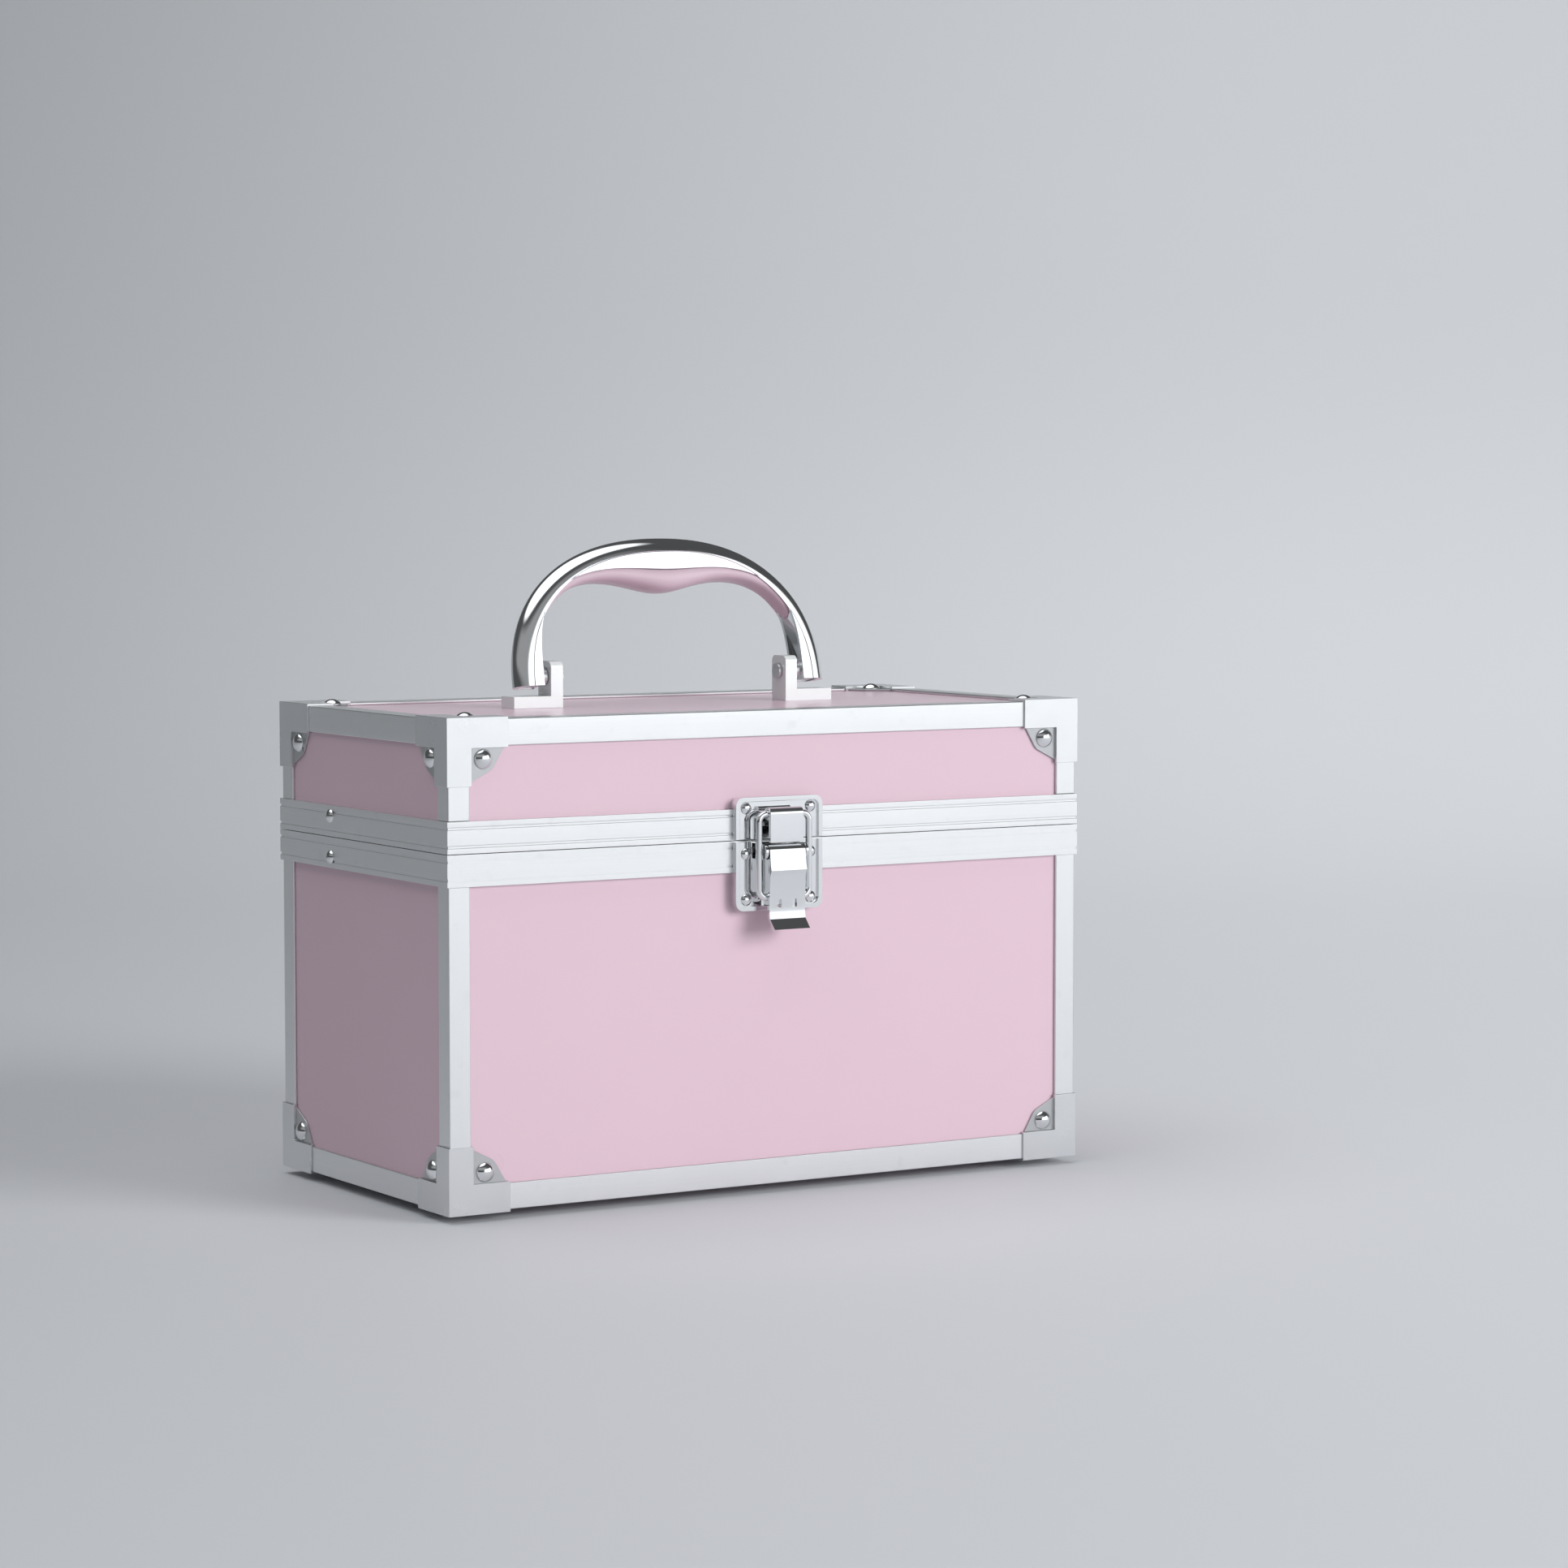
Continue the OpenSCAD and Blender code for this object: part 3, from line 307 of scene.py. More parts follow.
def lining_cloth(look):
    """Dark short-pile cloth: crossed threads under a soft nap."""
    s = Surface("lining_cloth")
    threads = [s.node("ShaderNodeTexWave", {"bands_direction": axis, "wave_profile": "SIN"},
                      {"Vector": s.place, "Scale": 420.0, "Distortion": 0.6, "Detail": 1.0})
               for axis in "XYZ"]
    weave = (threads[0] + threads[1] + threads[2]) / 3
    nap = s.noise(1400, detail=3)
    tone = 0.5 * weave + 0.5 * nap
    return s.finish(
        Base_Color=s.mix(tone, darker(look.lining, 0.6), darker(look.lining, 1.5)),
        Roughness=0.93, Sheen_Weight=0.35, Sheen_Roughness=0.4,
        Normal=s.bump(tone, 0.12 * MM))


def silvered_glass(look):
    """Mirror glass with a faint haze."""
    s = Surface("silvered_glass")
    haze = s.noise(25, detail=4).between(0.5, 0.9)
    return s.finish(
        Base_Color=s.mix(haze, SILVERING, HAZE), Metallic=1.0,
        Roughness=0.015 + 0.05 * haze, Coat_Weight=0.5, Coat_Roughness=0.02)


def pink_grip(look):
    """Smooth moulded plastic with the faintest orange peel and a little hand shine."""
    s = Surface("pink_grip")
    peel = s.noise(900, detail=1)
    shine = s.noise(60, detail=2)
    return s.finish(
        Base_Color=s.mix(shine.between(0.3, 0.7), darker(look.grip, 0.95), look.grip),
        Roughness=0.3 + 0.14 * shine, Coat_Weight=0.25, Coat_Roughness=0.15,
        Normal=s.bump(peel, 0.015 * MM))


FINISHES = {}


def make_finishes(look):
    """Makes each finish once; the profiles have one for each direction that they run in."""
    along = {"x": (9, 2400, 2400), "y": (2400, 9, 2400), "z": (2400, 2400, 9)}
    for axis, stretch in along.items():
        FINISHES["aluminium_" + axis] = drawn_aluminium(look, "drawn_aluminium_" + axis, stretch)
    for make in (pink_laminate, pressed_steel, chrome_plate, satin_nickel, zinc_steel, black_rubber,
                 lining_cloth, silvered_glass, pink_grip):
        FINISHES[make.__name__] = make(look)


# Shaping ------------------------------------------------------------------------------------

def add_object(name, mesh, finish):
    """A mesh as a piece of the scene, in one finish."""
    mesh.materials.clear()
    mesh.materials.append(FINISHES[finish] if isinstance(finish, str) else finish)
    piece = bpy.data.objects.new(name, mesh)
    bpy.context.scene.collection.objects.link(piece)
    return piece


def settle(piece):
    """Turns a piece's modifiers into its plain mesh."""
    shaped = piece.evaluated_get(bpy.context.evaluated_depsgraph_get())
    mesh = bpy.data.meshes.new_from_object(shaped)
    piece.modifiers.clear()
    piece.data = mesh
    return piece


def ease_edges(piece, width, segments, turn=32):
    """Rounds every edge that turns by more than turn degrees."""
    bevel = piece.modifiers.new("Eased edges", "BEVEL")
    bevel.limit_method = "ANGLE"
    bevel.angle_limit = radians(turn)
    bevel.width = width
    bevel.segments = segments
    normals = piece.modifiers.new("Flat faces stay flat", "WEIGHTED_NORMAL")
    normals.weight = 100
    return piece


def stand_in(piece, *nodes):
    """Lets a piece ride on its nodes' body and take their place."""
    record = frame["record"]["subparts"]
    slot = next(part["material_slot"] for part in record if part["node"] == nodes[0])
    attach(piece, BODY_OF[nodes[0]])
    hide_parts(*nodes)
    return piece


def dress(node, finish, width, segments=2):
    """A copy of a CAD node with its flats joined up and its edges eased, in the node's place."""
    form = bmesh.new()
    form.from_mesh(frame["nodes"][node].data)
    bmesh.ops.remove_doubles(form, verts=form.verts, dist=WELD)
    bmesh.ops.dissolve_limit(form, angle_limit=FLAT_TURN, verts=form.verts, edges=form.edges)
    for face in form.faces:
        face.smooth = True
    mesh = bpy.data.meshes.new(node)
    form.to_mesh(mesh)
    form.free()
    piece = add_object(node + "_finish", mesh, finish)
    return stand_in(settle(ease_edges(piece, width, segments)), node)


def recolour(node, finish):
    """Gives a CAD node that stays as it is its finish."""
    piece = frame["nodes"][node]
    if not piece.material_slots:
        piece.data.materials.append(FINISHES[finish])
    for slot in piece.material_slots:
        slot.material = FINISHES[finish]


def loft(name, rings, finish):
    """A closed solid through equal rings of points, with flat ends."""
    form = bmesh.new()
    rows = [[form.verts.new(point) for point in ring] for ring in rings]
    for row, following in zip(rows, rows[1:]):
        for i in range(len(row)):
            j = (i + 1) % len(row)
            form.faces.new((row[i], row[j], following[j], following[i]))
    form.faces.new(list(reversed(rows[0])))
    form.faces.new(rows[-1])
    bmesh.ops.recalc_face_normals(form, faces=form.faces)
    for face in form.faces:
        face.smooth = True
    mesh = bpy.data.meshes.new(name)
    form.to_mesh(mesh)
    form.free()
    return add_object(name, mesh, finish)


def solids(node):
    """The points of each separate solid of a CAD node, always in the same order."""
    form = bmesh.new()
    form.from_mesh(frame["nodes"][node].data)
    bmesh.ops.remove_doubles(form, verts=form.verts, dist=WELD)
    found, reached = [], set()
    for first in form.verts:
        if first in reached:
            continue
        reached.add(first)
        solid = [first]
        for vert in solid:
            for edge in vert.link_edges:
                other = edge.other_vert(vert)
                if other not in reached:
                    reached.add(other)
                    solid.append(other)
        found.append([vert.co.copy() for vert in solid])
    form.free()
    return found


def head_seats(node):
    """Where each rivet or screw head of a node sits, and which way it faces, with its size."""
    seats, width, height = [], 0, 0
    rim = 0.49    # points further out than this share of the width are on the head's rim
    for solid in solids(node):
        low = Vector([min(point[i] for point in solid) for i in range(3)])
        high = Vector([max(point[i] for point in solid) for i in range(3)])
        size = high - low
        axis = min(range(3), key=lambda i: abs(size[i - 1] - size[i - 2]))
        across = (axis + 1) % 3
        middle = (low + high) / 2
        reach = rim * size[across]
        wide = [point[axis] for point in solid if abs(point[across] - middle[across]) > reach]
        base = min(wide, key=lambda at: abs(at - middle[axis]))
        facing = 1 if base > middle[axis] else -1
        out = Vector((0, 0, 0))
        out[axis] = facing
        middle[axis] = base
        seats.append((middle, out))
        width = size[across]
        height = (high[axis] if facing > 0 else low[axis]) * facing - base * facing
    return seats, width, height


# Geometry nodes -----------------------------------------------------------------------------

class Plan(Graph):
    """A geometry node tree with named inputs, one geometry in and one out."""

    def __init__(self, name, inputs):
        super().__init__(bpy.data.node_groups.new(name, "GeometryNodeTree"))
        face = self.tree.interface
        face.new_socket("Geometry", in_out="INPUT", socket_type="NodeSocketGeometry")
        face.new_socket("Geometry", in_out="OUTPUT", socket_type="NodeSocketGeometry")
        for label, kind in inputs.items():
            face.new_socket(label, in_out="INPUT", socket_type=kind)
        self.entry = self.tree.nodes.new("NodeGroupInput")

    def given(self, label):
        return Wire(self, self.entry.outputs[label])

    def put_out(self, geometry, finish):
        """Ends the tree: real geometry, with its finish."""
        real = self.node("GeometryNodeRealizeInstances", None, {"Geometry": geometry})
        done = self.node("GeometryNodeSetMaterial", None, {"Geometry": real, "Material": finish})
        self.feed(self.tree.nodes.new("NodeGroupOutput").inputs[0], done)


def grid_place(plan, columns, rows):
    """A flat grid and its two coordinates, both from 0 to 1."""
    values = {"Size X": 1.0, "Size Y": 1.0, "Vertices X": columns + 1, "Vertices Y": rows + 1}
    grid = plan.node("GeometryNodeMeshGrid", None, values)
    across, along = plan.split(plan.node("GeometryNodeInputPosition"))[:2]
    return grid, across + 0.5, along + 0.5


def wrap_grid(plan, grid, x, y, z):
    """Moves a grid's points to x, y and z, and joins the points that meet."""
    place = plan.node("ShaderNodeCombineXYZ", None, {"X": x, "Y": y, "Z": z})
    moved = plan.node("GeometryNodeSetPosition", None, {"Geometry": grid, "Position": place})
    return plan.node("GeometryNodeMergeByDistance", None, {"Geometry": moved, "Distance": SEAM})


def heads_plan():
    """A domed head with a short rim, set on every point and turned along its "out"."""
    plan = Plan("domed_heads", {"Diameter": "NodeSocketFloat", "Height": "NodeSocketFloat",
                                "Rim": "NodeSocketFloat", "Cross": "NodeSocketFloat",
                                "Finish": "NodeSocketMaterial"})
    radius = plan.given("Diameter") * 0.5
    rim = plan.given("Rim")
    rise = plan.given("Height") - rim
    ball = (radius * radius + rise * rise) / (2 * rise)
    grid, u, v = grid_place(plan, columns=32, rows=12)
    dome_rows, rim_foot, centre = 0.8, 0.83, 0.95    # where along v the head's dome and rim end
    tilt = (v * (1 / dome_rows)).least(1.0) * (radius / ball).arcsine()
    under = v.above(rim_foot)
    bottom = v.above(centre)
    reach = ball * tilt.sine() * (1.0 - bottom)
    height = (plan.given("Height") - ball * (1.0 - tilt.cosine())) * (1.0 - under)
    turn = u * (-2 * pi)
    head = wrap_grid(plan, grid, reach * turn.cosine(), reach * turn.sine(), height)
    slotted = head
    cut = {"operation": "DIFFERENCE", "solver": "EXACT"}
    for bar in crossed_bars(plan, plan.given("Cross"), plan.given("Height")):
        slotted = plan.node("GeometryNodeMeshBoolean", cut, {0: slotted, 1: bar})
    has_cross = plan.given("Cross").above(0.0)
    chosen = plan.node("GeometryNodeSwitch", {"input_type": "GEOMETRY"},
                       {"Switch": has_cross, "False": head, "True": slotted})
    smooth = plan.node("GeometryNodeSetShadeSmooth", None, {"Geometry": chosen})
    out = plan.node("GeometryNodeInputNamedAttribute", {"data_type": "FLOAT_VECTOR"}, {"Name": "out"})
    facing = plan.node("FunctionNodeAlignRotationToVector", {"axis": "Z"}, {"Vector": out})
    values = {"Points": plan.given("Geometry"), "Instance": smooth, "Rotation": facing}
    plan.put_out(plan.node("GeometryNodeInstanceOnPoints", None, values), plan.given("Finish"))
    return plan.tree


def crossed_bars(plan, length, height):
    """Two bars that cut a cross for the driver into a head's top."""
    for across in (False, True):
        thin, deep = length * 0.2, height * 1.2
        sides = {"X": thin if across else length, "Y": length if across else thin, "Z": deep}
        size = plan.node("ShaderNodeCombineXYZ", None, sides)
        bar = plan.node("GeometryNodeMeshCube", None, {"Size": size})
        lift = plan.node("ShaderNodeCombineXYZ", None, {"Z": height})
        yield plan.node("GeometryNodeTransform", None, {"Geometry": bar, "Translation": lift})


def wire_plan():
    """A round wire along a line of points, with bent corners and closed ends."""
    plan = Plan("bent_wire", {"Diameter": "NodeSocketFloat", "Bend": "NodeSocketFloat",
                              "Finish": "NodeSocketMaterial"})
    line = plan.node("GeometryNodeMeshToCurve", None, {"Mesh": plan.given("Geometry")})
    bent = plan.node("GeometryNodeFilletCurve", {"mode": "POLY"},
                     {"Curve": line, "Radius": plan.given("Bend"), "Count": 10})
    ring = plan.node("GeometryNodeCurvePrimitiveCircle", {"mode": "RADIUS"},
                     {"Resolution": 24, "Radius": plan.given("Diameter") * 0.5})
    swept = plan.node("GeometryNodeCurveToMesh", None,
                      {"Curve": bent, "Profile Curve": ring, "Fill Caps": True})
    smooth = plan.node("GeometryNodeSetShadeSmooth", None, {"Geometry": swept})
    plan.put_out(smooth, plan.given("Finish"))
    return plan.tree


def grow(piece, tree, **inputs):
    """Runs a geometry node tree on a piece and keeps its result as a plain mesh."""
    plan = piece.modifiers.new("Plan", "NODES")
    plan.node_group = tree
    names = {item.name: item.identifier for item in tree.interface.items_tree if item.in_out == "INPUT"}
    for label, value in inputs.items():
        plan[names[label]] = value
    return settle(piece)


def set_heads(node, finish, rim=0.25 * MM, cross=0.0):
    """Puts a domed head where a node has each of its rivets or screws."""
    seats, width, height = head_seats(node)
    mesh = bpy.data.meshes.new(node)
    mesh.from_pydata([seat for seat, out in seats], [], [])
    facing = mesh.attributes.new("out", "FLOAT_VECTOR", "POINT")
    for item, (seat, out) in zip(facing.data, seats):
        item.vector = out
    piece = add_object(node + "_heads", mesh, finish)
    tree = bpy.data.node_groups.get("domed_heads") or heads_plan()
    grow(piece, tree, Diameter=width, Height=height, Rim=rim, Cross=cross, Finish=FINISHES[finish])
    return stand_in(piece, node)


# Sizes and colours that a user would change ---------------------------------------------------

class CaseLook(bpy.types.PropertyGroup):
    """Colours of the case's finishes."""

    laminate: FloatVectorProperty(
        name="Laminate", description="Colour of the wall panels", subtype="COLOR",
        size=3, min=0, max=1, default=(0.70, 0.512, 0.592))
    grip: FloatVectorProperty(
        name="Grip", description="Colour of the handle's grip", subtype="COLOR",
        size=3, min=0, max=1, default=(0.63, 0.49, 0.555))
    aluminium: FloatVectorProperty(
        name="Aluminium", description="Colour of the edge rails and bands", subtype="COLOR",
        size=3, min=0, max=1, default=(0.91, 0.92, 0.925))
    steel: FloatVectorProperty(
        name="Steel", description="Colour of the guards, hinges and stays", subtype="COLOR",
        size=3, min=0, max=1, default=(0.83, 0.84, 0.85))
    chrome: FloatVectorProperty(
        name="Chrome", description="Colour of the handle's shell, the latch and the rivets",
        subtype="COLOR", size=3, min=0, max=1, default=(0.86, 0.87, 0.88))
    lining: FloatVectorProperty(
        name="Lining", description="Colour of the cloth lining", subtype="COLOR",
        size=3, min=0, max=1, default=(0.075, 0.068, 0.072))


class CaseHandle(bpy.types.PropertyGroup):
    """Shape of the carrying handle."""

    width: FloatProperty(
        name="Width", description="Width over the legs", unit="LENGTH", default=120 * MM)
    height: FloatProperty(
        name="Height", description="Height over the leg ends", unit="LENGTH", default=50 * MM)
    leg_depth: FloatProperty(
        name="Leg depth", description="Front to back at the legs", unit="LENGTH", default=9 * MM)
    crown_depth: FloatProperty(
        name="Crown depth", description="Front to back at the crown", unit="LENGTH", default=15 * MM)
    leg_thick: FloatProperty(
        name="Leg thickness", description="Thickness of the shell at the legs", unit="LENGTH",
        default=9.5 * MM)
    crown_thick: FloatProperty(
        name="Crown thickness", description="Thickness of the shell at the crown", unit="LENGTH",
        default=10.6 * MM)
    dome: FloatProperty(
        name="Dome", description="Height of the shell's domed back", unit="LENGTH", default=5.6 * MM)
    wall: FloatProperty(
        name="Wall", description="Wall of the shell", unit="LENGTH", default=1.2 * MM)
    groove: FloatProperty(
        name="Groove", description="Depth of the line between dome and side", unit="LENGTH",
        default=0.2 * MM)
    grip_out: FloatProperty(
        name="Grip depth", description="How far the grip stands out of the shell", unit="LENGTH",
        default=4.2 * MM)
    swell: FloatProperty(
        name="Swell", description="Extra depth in the middle of the grip", unit="LENGTH",
        default=2.6 * MM)
    pivot_up: FloatProperty(
        name="Pivot height", description="Pivot over the leg ends", unit="LENGTH", default=3.5 * MM)
    lean: FloatProperty(
        name="Lean", description="Lean towards the back", subtype="ANGLE", default=radians(12))


class CaseLatch(bpy.types.PropertyGroup):
    """Shape of the draw latch."""

    sheet: FloatProperty(
        name="Sheet", description="Thickness of the pressed sheet", unit="LENGTH", default=1.2 * MM)
    bend: FloatProperty(
        name="Bend", description="Bend radius of the wire bail", unit="LENGTH", default=2.6 * MM)
    edge: FloatProperty(
        name="Edge", description="Rounding of the plates' edges", unit="LENGTH", default=0.28 * MM)


class CaseStage(bpy.types.PropertyGroup):
    """Camera and studio."""

    lens: FloatProperty(
        name="Lens", description="Focal length of the camera", unit="CAMERA", default=99.5)
    key_power: FloatProperty(
        name="Key light", description="Power of the key light", unit="POWER", default=131)
    fill_power: FloatProperty(
        name="Fill light", description="Power of the light at the left", unit="POWER", default=4)
    backdrop_power: FloatProperty(
        name="Backdrop light", description="Power of the light on the backdrop", unit="POWER", default=2)
    sky: FloatProperty(
        name="Sky", description="Strength of the surrounding light", subtype="FACTOR", min=0, max=2,
        default=1)
    floor: FloatVectorProperty(
        name="Floor", description="Colour of the floor and backdrop", subtype="COLOR",
        size=3, min=0, max=1, default=(0.715, 0.73, 0.758))


# Operators ----------------------------------------------------------------------------------

CAMERA_PLACE = (-0.73385, -1.25941, 0.23235)
CAMERA_DIP, CAMERA_TURN = 3.985, -31.535    # degrees: how far it looks down, and its turn from +Y
VIEW_RIGHT = (0.853, -0.523)                # the camera's right, on the floor
CASE_MIDDLE = (0, 0, 0.08)


class MakeStage(bpy.types.Operator):
    """Adds the camera, the lights and the floor with its backdrop"""

    bl_idname = "case.make_stage"
    bl_label = "Stage"

    def execute(self, context):
        stage = context.scene.case_stage
        self.add_camera(context, stage)
        self.add_floor(stage)
        self.add_light("key_light", stage.key_power, 2.0, (2.25, -3.7, 1.36), CASE_MIDDLE)
        self.add_light("fill_light", stage.fill_power, 1.5, (-2.0, -0.4, 2.2), CASE_MIDDLE)
        self.add_light("backdrop_light", stage.backdrop_power, 1.2, (0.9, 0.9, 2.2), (1.4, 2.3, 1.0))
        self.light_world(context.scene, stage)
        context.scene.view_settings.view_transform = "Standard"
        return {"FINISHED"}

    def add_camera(self, context, stage):
        """The photograph's view."""
        camera = bpy.data.objects.new("camera", bpy.data.cameras.new("camera"))
        camera.data.lens = stage.lens
        camera.data.clip_end = 50
        camera.location = CAMERA_PLACE
        camera.rotation_euler = Euler((radians(90 - CAMERA_DIP), 0, radians(CAMERA_TURN)))
        context.scene.collection.objects.link(camera)
        context.scene.camera = camera

    def studio_paper(self, stage):
        """Pale paper with painted shade: darker to the left, far to the right and up the backdrop, where the light
        falls off.
        """
        s = Surface("studio_paper")
        speckle = s.noise(500, detail=3)
        cloud = s.noise(3, detail=2)
        across, along, up = s.split(s.place)
        right = VIEW_RIGHT[0] * across + VIEW_RIGHT[1] * along
        past_left, far_right = right.between(-1.05, 0.45), right.between(0.9, 2.4)
        raised = up.between(0.0, 0.4)
        # painted light: 1 where the paper keeps its colour, 0 where painted shade halves it
        painted_light_share = past_left * (1.0 - 0.3 * raised - 0.3 * far_right)
        colour = s.mix(0.5 * speckle + 0.5 * cloud, darker(stage.floor, 0.97), stage.floor)
        return s.finish(
            Base_Color=s.mix(painted_light_share, darker(stage.floor, 0.5), colour), Roughness=0.5 + 0.1 * speckle,
            Specular_IOR_Level=0.08, Normal=s.bump(speckle, 0.01 * MM))

    def add_floor(self, stage):
        """A flat floor that bends up into the backdrop behind the case."""
        reach, flat_to, bend, rise, steps = 6, 0.9, 1.5, radians(70), 20
        sweep = [rise * k / steps for k in range(steps + 1)]
        profile = [(-reach, 0)] + [(flat_to + bend * sin(a), bend - bend * cos(a)) for a in sweep]
        turn = Matrix.Rotation(radians(-31.5), 3, "Z")
        form = bmesh.new()
        rows = [[form.verts.new(turn @ Vector((x, y, z))) for x in (-reach, reach)] for y, z in profile]
        for row, following in zip(rows, rows[1:]):
            form.faces.new((row[0], row[1], following[1], following[0])).smooth = True
        mesh = bpy.data.meshes.new("floor")
        form.to_mesh(mesh)
        form.free()
        add_object("floor", mesh, self.studio_paper(stage))

    def add_light(self, name, power, size, place, aim):
        """A square soft light that no metal mirrors, because the world has the cards for that."""
        light = bpy.data.lights.new(name, "AREA")
        light.shape = "SQUARE"
        light.size = size
        light.energy = power
        lamp = bpy.data.objects.new(name, light)
        lamp.location = place
        lamp.visible_glossy = False
        lamp.rotation_euler = (Vector(aim) - Vector(place)).to_track_quat("-Z", "Y").to_euler()
        bpy.context.scene.collection.objects.link(lamp)

    def light_world(self, scene, stage):
        """What the metal mirrors: a soft box overhead and two cards in front in a dim room."""
        world = bpy.data.worlds.new("studio")
        world.use_nodes = True
        graph = Graph(world.node_tree)
        across, along, up = graph.split(graph.node("ShaderNodeTexCoord", output="Generated"))
        front_card = (across * 0.52 - along * 0.854).between(0.70, 0.86) * (1.0 - up.between(0.40, 0.47))
        left_card = (across * -0.6 - along * 0.8).between(0.2, 0.7)
        left_card *= up.between(0.22, 0.36) - up.between(0.6, 0.75)
        overhead = (across * -0.17 + along * 0.08 + up * 0.98).between(0.79, 0.88)
        seen = graph.node("ShaderNodeLightPath", output="Is Camera Ray")
        dim, seen_as = 0.08, 0.6    # the room's own strength, and what the camera sees of it
        room = dim + 1.42 * front_card + 0.25 * left_card + 1.65 * overhead
        backdrop = world.node_tree.nodes["Background"].inputs
        graph.feed(backdrop["Strength"], (room + (seen_as - room) * seen) * stage.sky)
        backdrop["Color"].default_value = (0.96, 0.98, 1, 1)
        scene.world = world


class MakePanels(bpy.types.Operator):
    """Finishes the laminated wall, floor and lid panels"""

    bl_idname = "case.make_panels"
    bl_label = "Panels"

    def execute(self, context):
        for node in BODY_OF:
            if node.endswith("_panel"):
                dress(node, "pink_laminate", EDGES["panel"])
        return {"FINISHED"}


class MakeRails(bpy.types.Operator):
    """Finishes the edge rails and the two bands at the parting"""

    bl_idname = "case.make_rails"
    bl_label = "Rails and bands"

    def execute(self, context):
        for part in ("base", "lid"):
            for run, axis in (("long", "x"), ("short", "y"), ("corner", "z")):
                dress(part + "_" + run + "_rails", "aluminium_" + axis, EDGES["rail"])
            for band, axis in (("front_band", "x"), ("back_band", "x"), ("side_bands", "y")):
                dress(part + "_" + band, "aluminium_" + axis, EDGES["band"])
        return {"FINISHED"}


class MakeGuards(bpy.types.Operator):
    """Finishes the eight corner guards and sets their rivets"""

    bl_idname = "case.make_guards"
    bl_label = "Corner guards"

    def execute(self, context):
        for node in BODY_OF:
            if "_guard_" in node and not node.endswith("rivets"):
                dress(node, "pressed_steel", EDGES["guard"], segments=3)
        for node in ("base_guard_rivets", "lid_guard_rivets"):
            set_heads(node, "chrome_plate")
        return {"FINISHED"}


class MakeFeet(bpy.types.Operator):
    """Finishes the rubber feet and their screws"""

    bl_idname = "case.make_feet"
    bl_label = "Feet"

    def execute(self, context):
        dress("feet", "black_rubber", EDGES["foot"], segments=3)
        set_heads("foot_screws", "zinc_steel", rim=0.5 * MM, cross=3.2 * MM)
        return {"FINISHED"}


class MakeInside(bpy.types.Operator):
    """Finishes the linings, the mirror and the lid stays"""

    bl_idname = "case.make_inside"
    bl_label = "Inside"

    def execute(self, context):
        for node in ("base_lining", "lid_lining"):
            dress(node, "lining_cloth", EDGES["lining"])
        dress("mirror", "silvered_glass", EDGES["mirror"], segments=1)
        for node in ("stay_bar_left", "stay_bar_right"):
            dress(node, "zinc_steel", EDGES["stay"])
        for node in ("stay_base_studs", "stay_lid_rivets"):
            dress(node, "chrome_plate", EDGES["stud"])
        return {"FINISHED"}


class MakeHinges(bpy.types.Operator):
    """Finishes the two back hinges and sets their rivets"""

    bl_idname = "case.make_hinges"
    bl_label = "Hinges"

    def execute(self, context):
        for node in ("hinge_base_leaves", "hinge_lid_leaves"):
            dress(node, "zinc_steel", EDGES["leaf"], segments=3)
        dress("hinge_pins", "zinc_steel", EDGES["pin"])
        for node in ("hinge_base_rivets", "hinge_lid_rivets"):
            set_heads(node, "chrome_plate", rim=THIN_RIM)
        return {"FINISHED"}


class MakeLatch(bpy.types.Operator):
    """Makes the latch: its plates, rivets, lever, wire bail and claw"""

    bl_idname = "case.make_latch"
    bl_label = "Latch"

    def execute(self, context):
        latch = context.scene.case_latch
        for node in ("latch_base_plate", "latch_catch_plate"):
            dress(node, "chrome_plate", latch.edge, segments=3)
        for node in ("latch_base_rivets", "latch_catch_rivets"):
            set_heads(node, "chrome_plate", rim=THIN_RIM)
        recolour("latch_lever_pin", "zinc_steel")
        dress("latch_lever", "chrome_plate", EDGES["lever"], segments=3)
        self.make_bail(latch)
        dress("latch_claw", "chrome_plate", EDGES["claw"], segments=3)
        return {"FINISHED"}

    def make_bail(self, latch):
        """A bent wire: out from the lever's two cheeks, up, and across at the claw."""
        low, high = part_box("latch_bail")
        radius, clear = (high.y - low.y) / 2, 0.3 * MM
        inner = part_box("latch_lever")[1].x - latch.sheet - clear
        x, y = high.x - radius, (low.y + high.y) / 2
        bottom, top = low.z + radius, high.z - radius
        half = [(inner, bottom), (x, bottom), (x, top)]
        line = [(-across, y, up) for across, up in half] + [(across, y, up) for across, up in half[::-1]]
        mesh = bpy.data.meshes.new("bail")
        mesh.from_pydata(line, [(i, i + 1) for i in range(len(line) - 1)], [])
        piece = add_object("latch_bail_wire", mesh, "chrome_plate")
        grow(piece, wire_plan(), Diameter=2 * radius, Bend=latch.bend, Finish=FINISHES["chrome_plate"])
        stand_in(piece, "latch_bail")


